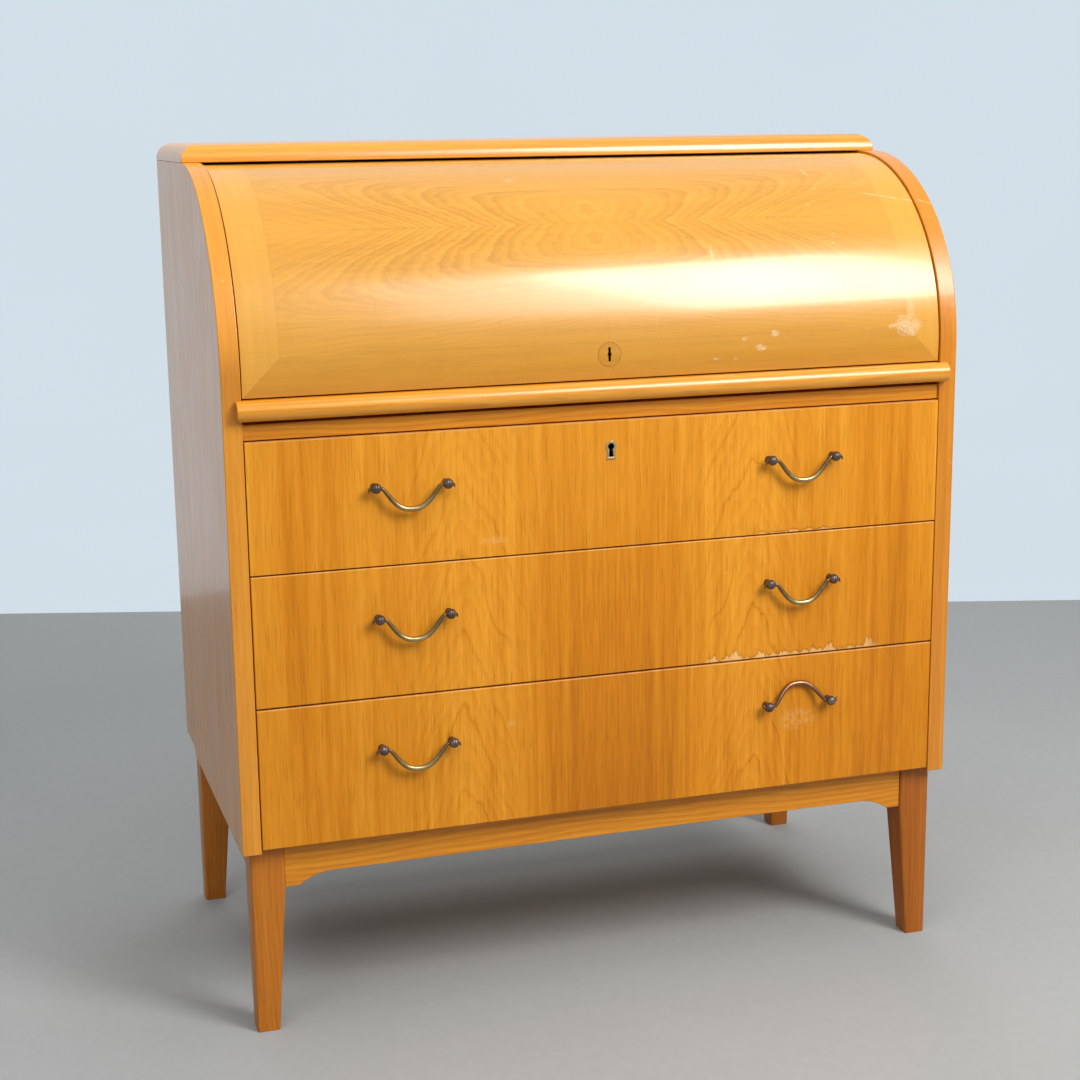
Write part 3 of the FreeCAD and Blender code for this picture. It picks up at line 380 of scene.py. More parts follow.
def drawer_marks(g, x, z):
    """Pale water marks with a brown line that creep up from two lower edges, and small knocks."""
    pale = []
    brown = []
    for number, left, right, height, strength in WATER_MARKS:
        low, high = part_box(f"drawer_{number}_front")
        wave = g.noise(x * 48, 3.0 * number, 7.0, detail=6, roughness=0.75)
        tall = low.z + height * g.smooth(wave, 0.38, 0.76)
        ends = g.smooth(x, left, left + 0.03) * (1 - g.smooth(x, right - 0.04, right))
        inside = ends * g.above(z, low.z - 0.001) * g.above(high.z, z)
        fade = g.noise(x * 70, z * 30, 2.0, detail=3)
        pale.append((1 - g.smooth(z, tall - 0.003, tall)) * inside * (0.35 + fade) * strength)
        brown.append((1 - g.smooth(abs(z - tall - 0.0006), 0.0003, 0.0011)) * inside * 0.55)
    for centre, size, strength in KNOCKS:
        spot = blot(g, x, z, centre, size) * speckle(g, x, z, 160, 0.42, 0.58, centre[0])
        pale.append(spot * strength)
    return g.most(*pale), g.most(*brown)


def cylinder_place(g):
    """Distance along X, and along the curve from the level of the pivots."""
    x, y, z = g.place()
    turn = g.math("ARCTAN2", z - PIVOT.z, PIVOT.y - y)
    return x, turn * SHELL_OUT


# Cylinder veneer: inner edges of the border, and the level line where the figure is mirrored
BORDER_SIDE = 0.383
BORDER_LOW = 0.023
MATCH_LINE = 0.172
BORDER_HIGH = 2 * MATCH_LINE - BORDER_LOW


def cylinder_figure(g, half, rise):
    """Shade, fibres and pores of crown veneer that is mirrored both ways."""
    ripple = g.noise(half * 17, rise * 40, 3.0, detail=4, roughness=0.60) - 0.5
    drift = g.noise(half * 4, rise * 7, 8.0, detail=2) - 0.5
    feather = g.noise(half * 60, rise * 190, 6.0, detail=3, roughness=0.6) - 0.5
    lift = rise - 0.024 - half * 0.165 + drift * 0.03
    upper = g.least(lift, 0.0)
    lower = g.most(lift, 0.0)
    crown = half + upper * upper * (16 + half * 110) + lower * lower * 88
    crown = crown + ripple * (0.040 + lower * 0.55) + feather * 0.012 + drift * 0.08
    broad = rings(g, crown, 0.066)
    ring = rings(g, crown + feather * 0.006, 0.022)
    fine = rings(g, crown + feather * 0.004, 0.0072)
    streak, fibre, pores = grain_parts(g, half, rise, 0.0, 5.0)
    calm = (1 - 0.35 * g.smooth(half, 0.24, 0.37)) * (0.55 + 0.45 * g.smooth(crown, 0.03, 0.12))
    shade = 0.17 + broad * 0.15 * calm + ring * 0.25 * calm + fine * 0.10 + (streak - 0.5) * 0.55
    return shade + fibre * 0.42, fibre, pores


def cylinder_veneer():
    """Four-way matched crown figure inside a mitred border."""
    g = Surface("veneer_cylinder")
    x, s = cylinder_place(g)
    half = abs(x)
    rise = abs(s - MATCH_LINE)
    shade, fibre, pores = cylinder_figure(g, half, rise)
    panel = g.ramp(shade, (0.05, 0.50, 1.0), GOLD)
    over = half - BORDER_SIDE
    under = g.most(BORDER_LOW - s, s - BORDER_HIGH)
    border = cylinder_border(g, x, s, half, g.above(over, under))
    banded = g.above(g.most(over, under), 0.0)
    colour = g.mix(banded, panel, border)
    seam = 1 - g.smooth(abs(g.most(over, under)), 0.0003, 0.0010)
    mitre = banded * (1 - g.smooth(abs(over - under), 0.0003, 0.0010)) * g.above(g.least(over, under), 0.0)
    match = (1 - g.smooth(g.least(half, rise), 0.0002, 0.0007)) * (1 - banded)
    lines = g.least(seam * 0.14 + mitre * 0.18 + match * 0.14, 0.3)
    colour = g.mix(lines, colour, PORE)
    colour = g.mix(pores * 0.12, colour, PORE)
    colour = g.mix(disc_line(g, x), colour, PORE)
    colour = g.mix(cylinder_marks(g, x, s), colour, CHIP)
    finish_wood(g, colour, fibre, pores, 1.05, relief=0.10)
    return g.material


def disc_line(g, x):
    """Dark joint round the inlaid keyhole disc."""
    z = g.place()[2]
    centre = (DISC_LOW.z + DISC_HIGH.z) / 2
    radius = (DISC_HIGH.x - DISC_LOW.x) / 2
    far = g.math("SQRT", x * x + (z - centre) * (z - centre))
    return (1 - g.smooth(abs(far - radius), 0.0002, 0.0007)) * 0.45


def cylinder_border(g, x, s, half, upright):
    """Border strips: upright grain at the sides, level grain above and below."""
    side_streak, side_fibre, _ = grain_parts(g, s, half, 0.0, 11.0)
    low_streak, low_fibre, _ = grain_parts(g, x, s, 0.0, 13.0)
    side = 0.17 + (side_streak - 0.5) * 0.70 + side_fibre * 0.40
    low = 0.50 + (low_streak - 0.5) * 0.60 + low_fibre * 0.45
    shade = side * upright + low * (1 - upright)
    return g.ramp(shade, (0.02, 0.50, 1.0), GOLD)


# Scratches through the cylinder's lacquer: ends as X and distance up the curve, half width, strength
SCRATCHES = (
    ((0.361, 0.0250), (0.376, 0.0280), 0.0024, 0.30), ((0.374, 0.0290), (0.384, 0.0335), 0.0020, 0.22),
    ((0.378, 0.0280), (0.391, 0.0150), 0.0032, 0.34), ((0.386, 0.0225), (0.399, 0.0250), 0.0036, 0.30),
    ((0.373, 0.0373), (0.403, 0.0292), 0.0016, 0.16), ((0.304, 0.2662), (0.306, 0.2504), 0.0009, 0.50),
    ((0.364, 0.2094), (0.428, 0.1925), 0.0006, 0.60),
)
# Chips in the same lacquer: middle, size, strength
CHIPS = (
    ((0.2088, 0.0235), (0.0056, 0.0046), 0.50), ((0.1903, 0.0078), (0.0080, 0.0052), 0.42),
    ((0.1697, 0.0187), (0.0040, 0.0030), 0.30), ((0.3030, 0.1450), (0.0012, 0.0014), 0.75),
    ((0.3024, 0.1390), (0.0010, 0.0010), 0.55), ((0.2997, 0.1323), (0.0030, 0.0012), 0.60),
    ((0.3034, 0.2215), (0.0014, 0.0030), 0.35), ((0.2845, 0.1905), (0.0030, 0.0026), 0.22),
    ((0.1330, -0.0030), (0.0050, 0.0022), 0.40), ((0.1580, -0.0040), (0.0034, 0.0022), 0.35),
    ((0.1400, 0.1240), (0.0024, 0.0120), 0.30), ((-0.0796, 0.2544), (0.0090, 0.0060), 0.16),
    ((0.3840, 0.0250), (0.0200, 0.0150), 0.34), ((0.3900, 0.0420), (0.0060, 0.0200), 0.20),
)


def stroke(g, u, v, start, end, width):
    """1 on a ragged straight scratch between two places, 0 a little beside it."""
    run = Vector(end) - Vector(start)
    share = ((u - start[0]) * run.x + (v - start[1]) * run.y) / run.length_squared
    share = g.least(g.most(share, 0.0), 1.0)
    du = u - start[0] - share * run.x
    dv = v - start[1] - share * run.y
    ragged = (g.noise(u * 420, v * 420, start[0] * 50, detail=3) - 0.5) * width * 4.0
    return 1 - g.smooth(g.math("SQRT", du * du + dv * dv) + ragged, width * 0.3, width)


def cylinder_marks(g, x, s):
    """Scratched and chipped lacquer, mostly low on the right."""
    marks = []
    for start, end, width, strength in SCRATCHES:
        marks.append(stroke(g, x, s, start, end, width) * strength)
    for centre, size, strength in CHIPS:
        edge = 0.15 + 0.85 * speckle(g, x, s, 330, 0.42, 0.56, centre[0] * 7)
        marks.append(blot(g, x, s, centre, size) * edge * strength)
    return g.most(*marks)


def panel_face(name, seed):
    """Upright veneer of the side panels."""
    return wood(name, 2, HONEY, seed=seed, period=0.030, figure=0.16, streaks=0.60, polish=0.95, relief=0.06,
                sway=0.20)


def panel_edge():
    """Solid lipping that follows the front edge of the side panels round the quarter circle."""
    g = Surface("panel_lipping")
    x, y, z = g.place()
    turn = g.math("ARCTAN2", g.most(z - PIVOT.z, 0.0), PIVOT.y - y)
    run = g.least(z, PIVOT.z) + turn * ARC
    streak, fibre, pores = grain_parts(g, run, x, 0.0, 3.0)
    ripple = g.noise(run * 6, x * 40, 2.0, detail=2) - 0.5
    ring = rings(g, x + ripple * 0.012, 0.0075)
    # Painted shade: the lipping grows darker towards the right, most on the right panel
    shade = 0.36 + ring * 0.09 + (streak - 0.5) * 0.45 + fibre * 0.50 + x * 0.28
    colour = g.ramp(shade, (0.10, 0.50, 0.98), HONEY)
    colour = g.mix(pores * 0.18, colour, PORE)
    # Darker band on the left panel's lipping round the level of the leaf's moulding
    dark_by_moulding = (1 - g.smooth(abs(run - PIVOT.z + 0.008), 0.005, 0.060)) * g.above(0.0, x) * 0.30
    colour = g.mix(dark_by_moulding, colour, BURNT)
    knock = speckle(g, x, run, 60, 0.66, 0.70, 2.0) * 0.35
    across = stroke(g, x, run, (0.430, PIVOT.z + 0.848 * ARC), (0.452, PIVOT.z + 0.806 * ARC), 0.0008) * 0.6
    colour = g.mix(g.most(knock, across), colour, STAIN_AND_HIGHLIGHT)
    finish_wood(g, colour, fibre, pores, 0.9, relief=0.15)
    return g.material


# The disc's key slot: how far behind its face the painted shade starts, and half its width
SLOT_DEEP = 0.0022
SLOT_HALF = 0.003


def disc_wood():
    """Inlaid disc whose key slot is painted near black as shade."""
    g = Surface("veneer_keyhole_disc")
    x, y, z = g.place()
    streak, fibre, pores = grain_parts(g, x, z, 0.0, 21.0)
    shade = 0.62 + (streak - 0.5) * 0.4 + fibre * 0.5
    colour = g.ramp(shade, (0.05, 0.50, 0.98), GOLD)
    colour = g.mix(disc_line(g, x), colour, PORE)
    # Painted shade: the slot's walls behind the face are made near black
    slot_shade = g.above(y, DISC_LOW.y + SLOT_DEEP) * g.above(SLOT_HALF, abs(x))
    colour = g.mix(slot_shade, colour, HOLE_SHADE)
    finish_wood(g, colour, fibre, pores, 1.0)
    return g.material


def rail_wood():
    """Rail behind the cylinder's lower edge, with a painted shade spot for the keyway that shows through the
    disc's slot.
    """
    g = Surface("cylinder_rail_wood")
    x, y, z = g.place()
    streak, fibre, pores = grain_parts(g, x, y, z, 23.0)
    colour = g.ramp(0.45 + (streak - 0.5) * 0.5 + fibre * 0.5, (0.1, 0.5, 0.95), PALE)
    # Painted shade: a near-black spot standing in for the dark keyway behind the disc's slot
    reach = (DISC_HIGH.z - DISC_LOW.z) / 2
    keyway_shade = blot(g, x, z, (0.0, (DISC_LOW.z + DISC_HIGH.z) / 2), (0.012, reach))
    colour = g.mix(keyway_shade, colour, HOLE_SHADE)
    finish_wood(g, colour, fibre, pores, 0.1)
    return g.material


def brass(name, worn, tones):
    """Aged brass: patina in dark, middle and rubbed tones."""
    g = Surface(name)
    x, y, z = g.place()
    patch = g.noise(x * 90, y * 90, z * 90, detail=4, roughness=0.6)
    fine = g.noise(x * 700, y * 700, z * 700, detail=2)
    shade = patch * 0.6 + fine * 0.25 + worn
    colour = g.ramp(shade, (0.25, 0.52, 0.95), tones)
    g.set(Base_Color=colour, Metallic=0.9, Roughness=0.42 - 0.16 * shade)
    g.bump(patch + fine * 0.3, 0.0003, 0.3)
    return g.material


def bail_brass(name, bright, middle_tone):
    """The bow's grip is rubbed brighter than its ends."""
    g = Surface(name)
    x, y, z = g.place()
    low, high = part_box("drawer_1_right_bail")
    away = abs(abs(x) - (low.x + high.x) / 2)
    rubbed = 1 - g.smooth(away, 0.006, 0.036)
    patch = g.noise(x * 110, y * 110, z * 110, detail=4, roughness=0.6)
    fine = g.noise(x * 800, y * 800, z * 800, detail=2)
    shade = patch * 0.5 + fine * 0.2 + rubbed * 0.34
    colour = g.ramp(shade, (0.20, 0.50, 0.92), ((0.080, 0.050, 0.026), middle_tone, bright))
    g.set(Base_Color=colour, Metallic=0.92, Roughness=0.44 - 0.16 * shade)
    g.bump(patch + fine * 0.4, 0.0003, 0.25)
    return g.material


def steel():
    """Brushed, slightly dull steel of the hidden fittings."""
    g = Surface("plain_steel")
    x, y, z = g.place()
    patch = g.noise(x * 40, y * 40, z * 40, detail=4, roughness=0.6)
    brushed = g.noise(x * 80, y * 1200, z * 300, detail=2)
    shade = patch * 0.6 + brushed * 0.4
    colour = g.ramp(shade, (0.25, 0.75), ((0.16, 0.15, 0.14), (0.42, 0.41, 0.40)))
    g.set(Base_Color=colour, Metallic=1.0, Roughness=0.34 + brushed * 0.2)
    g.bump(brushed, 0.0002, 0.3)
    return g.material


# Edges: corners this near are one, faces this flat are one, and a bend this sharp is rounded
SAME_CORNER = 0.00002
FLAT_BEND = math.radians(0.4)
SHARP_BEND = math.radians(32)


def soften(thing, width, segments=2):
    """Small rounded edges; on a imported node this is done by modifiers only."""
    for polygon in thing.data.polygons:
        polygon.use_smooth = True
    weld = thing.modifiers.new("weld", "WELD")
    weld.merge_threshold = SAME_CORNER
    flat = thing.modifiers.new("flat", "DECIMATE")
    flat.decimate_type = "DISSOLVE"
    flat.angle_limit = FLAT_BEND
    edge = thing.modifiers.new("edge", "BEVEL")
    edge.width = width
    edge.segments = segments
    edge.limit_method = "ANGLE"
    edge.angle_limit = SHARP_BEND
    edge.harden_normals = True
    edge.use_clamp_overlap = True


def dress(node, material, width):
    """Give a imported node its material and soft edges; with no width it keeps its sharp ones."""
    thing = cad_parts[node]
    thing.data.materials.clear()
    thing.data.materials.append(material)
    if width:
        if "custom_normal" in thing.data.attributes:
            thing.data.attributes.remove(thing.data.attributes["custom_normal"])
        soften(thing, width)


def new_piece(name, mesh, body, materials, stands_for):
    """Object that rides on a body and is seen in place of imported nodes."""
    thing = bpy.data.objects.new(name, mesh)
    bpy.context.scene.collection.objects.link(thing)
    for material in materials:
        mesh.materials.append(material)
    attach(thing, body)
    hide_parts(*stands_for)
    return thing


def skin(shape, loops):
    """Join a run of equal loops of corners into a closed tube."""
    count = len(loops[0])
    for before, after in zip(loops, loops[1:]):
        for index in range(count):
            following = (index + 1) % count
            shape.faces.new((before[index], before[following], after[following], after[index]))
    shape.faces.new(reversed(loops[0]))
    shape.faces.new(loops[-1])


def finish_mesh(shape, name, smooth):
    """Mesh of a finished shape, with its faces turned outward."""
    bmesh.ops.recalc_face_normals(shape, faces=shape.faces)
    mesh = bpy.data.meshes.new(name)
    shape.to_mesh(mesh)
    shape.free()
    for polygon in mesh.polygons:
        polygon.use_smooth = smooth
    return mesh


# Round forms: corners along each arc, and round a hole
SHELL_STEPS = 120
SHELL_INNER_STEPS = 60
PANEL_STEPS = 96
MOULD_STEPS = 48
HOLE_SIDES = 64
# The disc's hole in the shell: how much wider it is than the disc, and how deep its cutter reaches
DISC_PLAY = 0.00012
CUT_DEPTH = 0.06
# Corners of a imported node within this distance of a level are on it
ON_LEVEL = 0.0005


def arc_points(radius, start, end, steps):
    """Y and Z on a circle about the pivots, the angle counted up from the front."""
    points = []
    for step in range(steps + 1):
        turn = start + (end - start) * step / steps
        points.append((PIVOT.y - radius * math.cos(turn), PIVOT.z + radius * math.sin(turn)))
    return points


def prism(name, outline, low, high):
    """Closed mesh of a Y-Z outline carried along X."""
    shape = bmesh.new()
    skin(shape, [[shape.verts.new((x, y, z)) for y, z in outline] for x in (low, high)])
    return finish_mesh(shape, name, smooth=False)


def bored(mesh, radius, place, length):
    """The mesh with a round hole along Y cut through it."""
    cutter_shape = bmesh.new()
    turn = Matrix.Rotation(math.radians(90), 4, "X")
    bmesh.ops.create_cone(cutter_shape, cap_ends=True, segments=HOLE_SIDES, radius1=radius, radius2=radius,
                          depth=length, matrix=Matrix.Translation(place) @ turn)
    cutter_mesh = bpy.data.meshes.new("cutter")
    cutter_shape.to_mesh(cutter_mesh)
    cutter_shape.free()
    cutter = bpy.data.objects.new("cutter", cutter_mesh)
    blank = bpy.data.objects.new("blank", mesh)
    for thing in (cutter, blank):
        bpy.context.scene.collection.objects.link(thing)
    cut = blank.modifiers.new("cut", "BOOLEAN")
    cut.object = cutter
    cut.operation = "DIFFERENCE"
    cut.solver = "EXACT"
    bpy.context.view_layer.update()
    graph = bpy.context.evaluated_depsgraph_get()
    result = bpy.data.meshes.new_from_object(blank.evaluated_get(graph))
    for thing in (cutter, blank):
        bpy.data.objects.remove(thing)
    return result


def make_shell():
    """The cylinder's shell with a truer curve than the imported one."""
    outer = arc_points(SHELL_OUT, SHELL_FOOT, SHELL_TOP, SHELL_STEPS)
    inner = arc_points(SHELL_OUT - SHELL_THICK, SHELL_FOOT, SHELL_TOP, SHELL_INNER_STEPS)
    mesh = prism("cylinder_shell_fine", outer + inner[::-1], SHELL_LOW.x, SHELL_HIGH.x)
    centre = (DISC_LOW + DISC_HIGH) / 2
    mesh = bored(mesh, (DISC_HIGH.x - DISC_LOW.x) / 2 + DISC_PLAY, centre, CUT_DEPTH)
    mesh.name = "cylinder_shell_fine"
    shell = new_piece("cylinder_shell_fine", mesh, "cylinder", [cylinder_veneer()],
                      ["cylinder_shell"])
    soften(shell, width=0.0008)


def make_panels():
    """Side panels with a truer quarter circle; faces and edges have their own wood."""
    low, high = PANEL_LOW, PANEL_HIGH
    corners = [corner.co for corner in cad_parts["left_side_panel"].data.vertices]
    step = max(corner.y for corner in corners if corner.z < low.z + ON_LEVEL)
    tread = min(corner.z for corner in corners if corner.y > high.y - ON_LEVEL)
    heel = min(corner.y for corner in corners if abs(corner.z - tread) < ON_LEVEL)
    outline = [(low.y, low.z), (step, low.z), (heel, tread), (high.y, tread), (high.y, high.z)]
    outline += arc_points(ARC, math.radians(90), 0, PANEL_STEPS)
    edge = panel_edge()
    for hand, seed in zip(HANDS, (0.0, 6.0)):
        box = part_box(f"{hand}_side_panel")
        mesh = prism(f"{hand}_panel_fine", outline, box[0].x, box[1].x)
        materials = [panel_face(f"veneer_{hand}_side", seed), edge]
        panel = new_piece(f"{hand}_panel_fine", mesh, "case", materials, [f"{hand}_side_panel"])
        for polygon in mesh.polygons:
            polygon.material_index = 0 if abs(polygon.normal.x) > 0.9 else 1
        soften(panel, width=0.0013, segments=3)


def make_moulding():
    """The leaf's half-round grip."""
    material = wood("solid_moulding", 0, WARM, seed=10.0, period=0.007, figure=0.26, polish=0.9, relief=0.15)
    low, high = MOULD_LOW, MOULD_HIGH
    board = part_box("leaf_board")
    out = high.y - low.y
    half = (high.z - low.z) / 2
    middle = (high.z + low.z) / 2
    radius = min(half, out)
    sweep = math.acos(1 - out / radius)
    outline = []
    for step in range(MOULD_STEPS + 1):
        turn = -sweep + 2 * sweep * step / MOULD_STEPS
        outline.append((low.y + radius - radius * math.cos(turn), middle + radius * math.sin(turn)))
    outline = [(min(y, board[0].y), z) for y, z in outline]
    mesh = prism("leaf_moulding_fine", outline, low.x, high.x)
    grip = new_piece("leaf_moulding_fine", mesh, "leaf", [material], ["leaf_moulding"])
    soften(grip, width=0.0012, segments=3)


# Handles: posts
POST_GAP = 0.0835
BALL = 0.0061
STEM = 0.0036
REACH = 0.012
COLLAR_OUT = 0.0006
COLLAR_THICK = 0.0008
COLLAR_SLOPE = 0.0006
GROOVE_DEEP = 0.0012
GROOVE_HALF = 0.0011
GROOVE_START = BALL * 0.35
BALL_STEPS = 17
POST_SIDES = 28
# Handles: bails, whose wire is thickest in the middle and ends in a turned-down tip past each ball
BAIL_PLAY = 0.0002
BOW_DROP = 0.026
BOW_HALF = POST_GAP / 2 - BALL - BAIL_PLAY
BOW_FULLNESS = 2.6
BOW_SHARPNESS = 1.5
BOW_STEPS = 25
WIRE_MID = 0.0032
WIRE_END = 0.0016
PAST_BALL = 0.0003
TIP = 0.0021
TIP_TURN = 0.0045
TIP_TAPER = 0.62
TIP_SHARES = (0.25, 0.5, 0.75, 0.92, 1.0)
BAIL_SIDES = 20
RAISED = math.radians(199)


def bail_path():
    """Distance from the middle, drop and wire radius along a whole bail."""
    half = []
    for step in range(BOW_STEPS):
        share = step / BOW_STEPS
        wire = WIRE_END + (WIRE_MID - WIRE_END) * math.sqrt(1 - share * share)
        half.append((BOW_HALF * share, BOW_DROP * (1 - share ** BOW_FULLNESS) ** BOW_SHARPNESS, wire))
    past = BOW_HALF + 2 * BALL + PAST_BALL
    half += [(BOW_HALF, 0.0, WIRE_END), ((BOW_HALF + past) / 2, 0.0, WIRE_END), (past, 0.0, WIRE_END)]
    for share in TIP_SHARES:
        wire = WIRE_END * (1 - TIP_TAPER * share * share)
        half.append((past + TIP * share, TIP_TURN * share * share, wire))
    return [(-x, drop, wire) for x, drop, wire in reversed(half[1:])] + half


def tube(name, spots, radii, side):
    """Closed tube through the spots; side is square to the plane that they lie in."""
    shape = bmesh.new()
    loops = []
    for index, (spot, radius) in enumerate(zip(spots, radii)):
        ahead = spots[min(index + 1, len(spots) - 1)] - spots[max(index - 1, 0)]
        across = ahead.normalized().cross(side).normalized()
        loop = []
        for step in range(BAIL_SIDES):
            turn = 2 * math.pi * step / BAIL_SIDES
            loop.append(shape.verts.new(spot + (side * math.cos(turn) + across * math.sin(turn)) * radius))
        loops.append(loop)
    skin(shape, loops)
    return finish_mesh(shape, name, smooth=True)


def make_bails():
    """Six bails, of which a raised one has a ruddier brass, as in the photograph."""
    path = bail_path()
    rubbed = bail_brass("brass_bails", (0.56, 0.44, 0.20), (0.24, 0.165, 0.072))
    ruddy = bail_brass("brass_raised_bail", (0.38, 0.185, 0.100), (0.22, 0.105, 0.058))
    for number in NUMBERS:
        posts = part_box(f"drawer_{number}_handle_posts")
        axis_z = (posts[0].z + posts[1].z) / 2
        axis_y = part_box(f"drawer_{number}_front")[0].y - REACH
        for hand in HANDS:
            node = f"drawer_{number}_{hand}_bail"
            low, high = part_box(node)
            middle = (low.x + high.x) / 2
            raised = (low.z + high.z) / 2 > axis_z
            lift = RAISED if raised else 0.0
            down = Vector((0, -math.sin(lift), -math.cos(lift)))
            base = Vector((middle, axis_y, axis_z))
            spots = [base + Vector((x, 0, 0)) + down * drop for x, drop, _ in path]
            side = down.cross(Vector((1, 0, 0)))
            mesh = tube(node + "_fine", spots, [wire for _, _, wire in path], side)
            new_piece(node + "_fine", mesh, node, [ruddy if raised else rubbed], [node])


def post_mesh(name, centres, axis_y, axis_z, face_y):
    """Turned stems and balls, each ball with a filed groove across its nose."""
    collar = face_y - COLLAR_THICK
    profile = [(face_y, STEM + COLLAR_OUT), (collar, STEM + COLLAR_OUT), (collar - COLLAR_SLOPE, STEM)]
    neck = math.sqrt(BALL * BALL - STEM * STEM)
    start = math.atan2(STEM, neck)
    profile.append((axis_y + neck, STEM))
    for step in range(1, BALL_STEPS):
        turn = start + (math.pi - start) * step / BALL_STEPS
        profile.append((axis_y + BALL * math.cos(turn), BALL * math.sin(turn)))
    shape = bmesh.new()
    for x in centres:
        loops = []
        for y, radius in profile:
            nose = y < axis_y - GROOVE_START
            loop = []
            for step in range(POST_SIDES):
                turn = 2 * math.pi * step / POST_SIDES
                dx = radius * math.cos(turn)
                groove = GROOVE_DEEP * max(0.0, 1 - abs(dx) / GROOVE_HALF) if nose else 0.0
                loop.append(shape.verts.new((x + dx, y + groove, axis_z + radius * math.sin(turn))))
            loops.append(loop)
        skin(shape, loops)
    return finish_mesh(shape, name, smooth=True)


def make_posts():
    """The four ball posts of each drawer, as one piece."""
    material = brass("brass_posts", worn=0.10, tones=BRONZE)
    for number in NUMBERS:
        node = f"drawer_{number}_handle_posts"
        low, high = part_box(node)
        face_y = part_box(f"drawer_{number}_front")[0].y
        outer = high.x - BALL
        centres = [way * x for way in (-1, 1) for x in (outer, outer - POST_GAP)]
        mesh = post_mesh(node + "_fine", centres, face_y - REACH, (low.z + high.z) / 2, face_y)
        new_piece(node + "_fine", mesh, f"drawer_{number}", [material], [node])


def dress_boards():
    """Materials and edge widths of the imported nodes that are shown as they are."""
    x_axis, y_axis, z_axis = 0, 1, 2
    groups = (
        (wood("veneer_top", x_axis, WARM, seed=4.0, period=0.011, figure=0.14, polish=1.05, relief=0.12),
         ["top_board"], 0.0010),
        (wood("solid_level_front", x_axis, HONEY, seed=1.0, period=0.0055, figure=0.22),
         ["front_rail", "front_apron"], 0.0010),
        (wood("solid_level_back", x_axis, HONEY, seed=8.0), ["back_apron"], 0.0010),
        (wood("solid_apron_sides", y_axis, HONEY, seed=2.5), ["left_apron", "right_apron"], 0.0010),
        (wood("solid_legs_left", z_axis, DEEP, seed=9.0, period=0.006, figure=0.12),
         ["front_left_leg", "back_left_leg"], 0.0008),
        # Painted shade: the right legs get a darker copy of the left legs' wood
        (wood("solid_legs_right_shaded", z_axis, SHADED_DEEP, seed=11.0, period=0.006, figure=0.12),
         ["front_right_leg", "back_right_leg"], 0.0008),
        (wood("veneer_leaf", x_axis, HONEY, seed=5.0, period=0.035, figure=0.14, sway=0.3),
         ["leaf_board"], 0.0006),
        (wood("fitting_level", x_axis, HONEY, seed=12.0), ["fitting_shelves", "fitting_floor"], 0.0006),
        (wood("fitting_upright", z_axis, HONEY, seed=14.0),
         ["fitting_dividers", "left_fitting_end", "right_fitting_end"], 0.0006),
        (wood("small_drawer_wood", x_axis, HONEY, seed=16.0),
         ["small_drawer_left", "small_drawer_right"], 0),
        (wood("drawer_box_wood", y_axis, PALE, seed=3.0, figure=0.12, polish=0.2, sway=0.15),
         ["drawer_1_box", "drawer_2_box", "drawer_3_box", "drawer_runners", "leaf_runners"], 0),
        (wood("carcase_wood", x_axis, PALE, seed=7.0, polish=0.1),
         ["corner_blocks", "bottom_panel"], 0.0008),
        (rail_wood(), ["cylinder_rail"], 0.0006),
        (wood("cheek_wood", z_axis, PALE, seed=7.5, polish=0.2),
         ["left_cylinder_cheek", "right_cylinder_cheek"], 0.0006),
        (wood("plywood", z_axis, PLY, seed=6.5, period=0.05, figure=0.2, polish=0.1, sway=0.4),
         ["back_panel", "fitting_back"], 0.0005),
        (wood("plywood_level", x_axis, PLY, seed=5.5, period=0.05, figure=0.2, polish=0.1, sway=0.3),
         ["dust_panel", "drawer_1_bottom", "drawer_2_bottom", "drawer_3_bottom"], 0.0004),
        (drawer_veneer(), [f"drawer_{n}_front" for n in NUMBERS], 0.0011),
        (disc_wood(), ["keyhole_disc"], 0.0002),
        (brass("brass_escutcheon", worn=0.80, tones=BRASS), ["drawer_escutcheon"], 0.0009),
        (steel(), ["cylinder_pivot_pins", "left_rocker", "right_rocker", "rocker_studs", "leaf_forks",
                   "drawer_lock", "cylinder_lock"], 0.0004),
    )
    for material, nodes, width in groups:
        for node in nodes:
            dress(node, material, width)


# Stage: tones of the backdrop and the floor, how much the floor varies, and the light from all round
PAPER = (0.655, 0.745, 0.81)
FLOOR = (0.36, 0.37, 0.37)
FLOOR_SPREAD = 0.06
WORLD_LIGHT = 0.16
# The floor's own glow: distances from the part at which it starts and is full, and its strength
GLOW_START = 2.4
GLOW_FULL = 5.0
GLOW = 0.8
# Stage from below the camera along its heading: the floor's near end, the backdrop's start and its wall
FLOOR_NEAR = -7.0
PAPER_START = 4.12
WALL = 7.5
WALL_TOP = 6.0
WALL_BEND = 0.6
BEND_STEPS = 8
HALF_WIDTH = 9.0


def stage_material(name, tone, spread):
    """Pale floor that keeps its tone where it runs on beyond the lamps."""
    g = Surface(name)
    x, y, z = g.place()
    cloud = g.noise(x * 1.3, y * 1.3, z * 1.3, detail=4)
    grit = g.noise(x * 60, y * 60, z * 60, detail=3)
    dark = [channel * (1 - spread) for channel in tone]
    light = [channel * (1 + spread) for channel in tone]
    colour = g.ramp(cloud * 0.6 + grit * 0.4, (0.3, 0.7), (dark, light))
    far = g.smooth(g.math("SQRT", x * x + y * y), GLOW_START, GLOW_FULL)
    g.set(Base_Color=colour, Roughness=0.8, Emission_Color=colour, Emission_Strength=g.seen() * far * GLOW)
    g.bump(grit, 0.0005, 0.15)
    return g.material


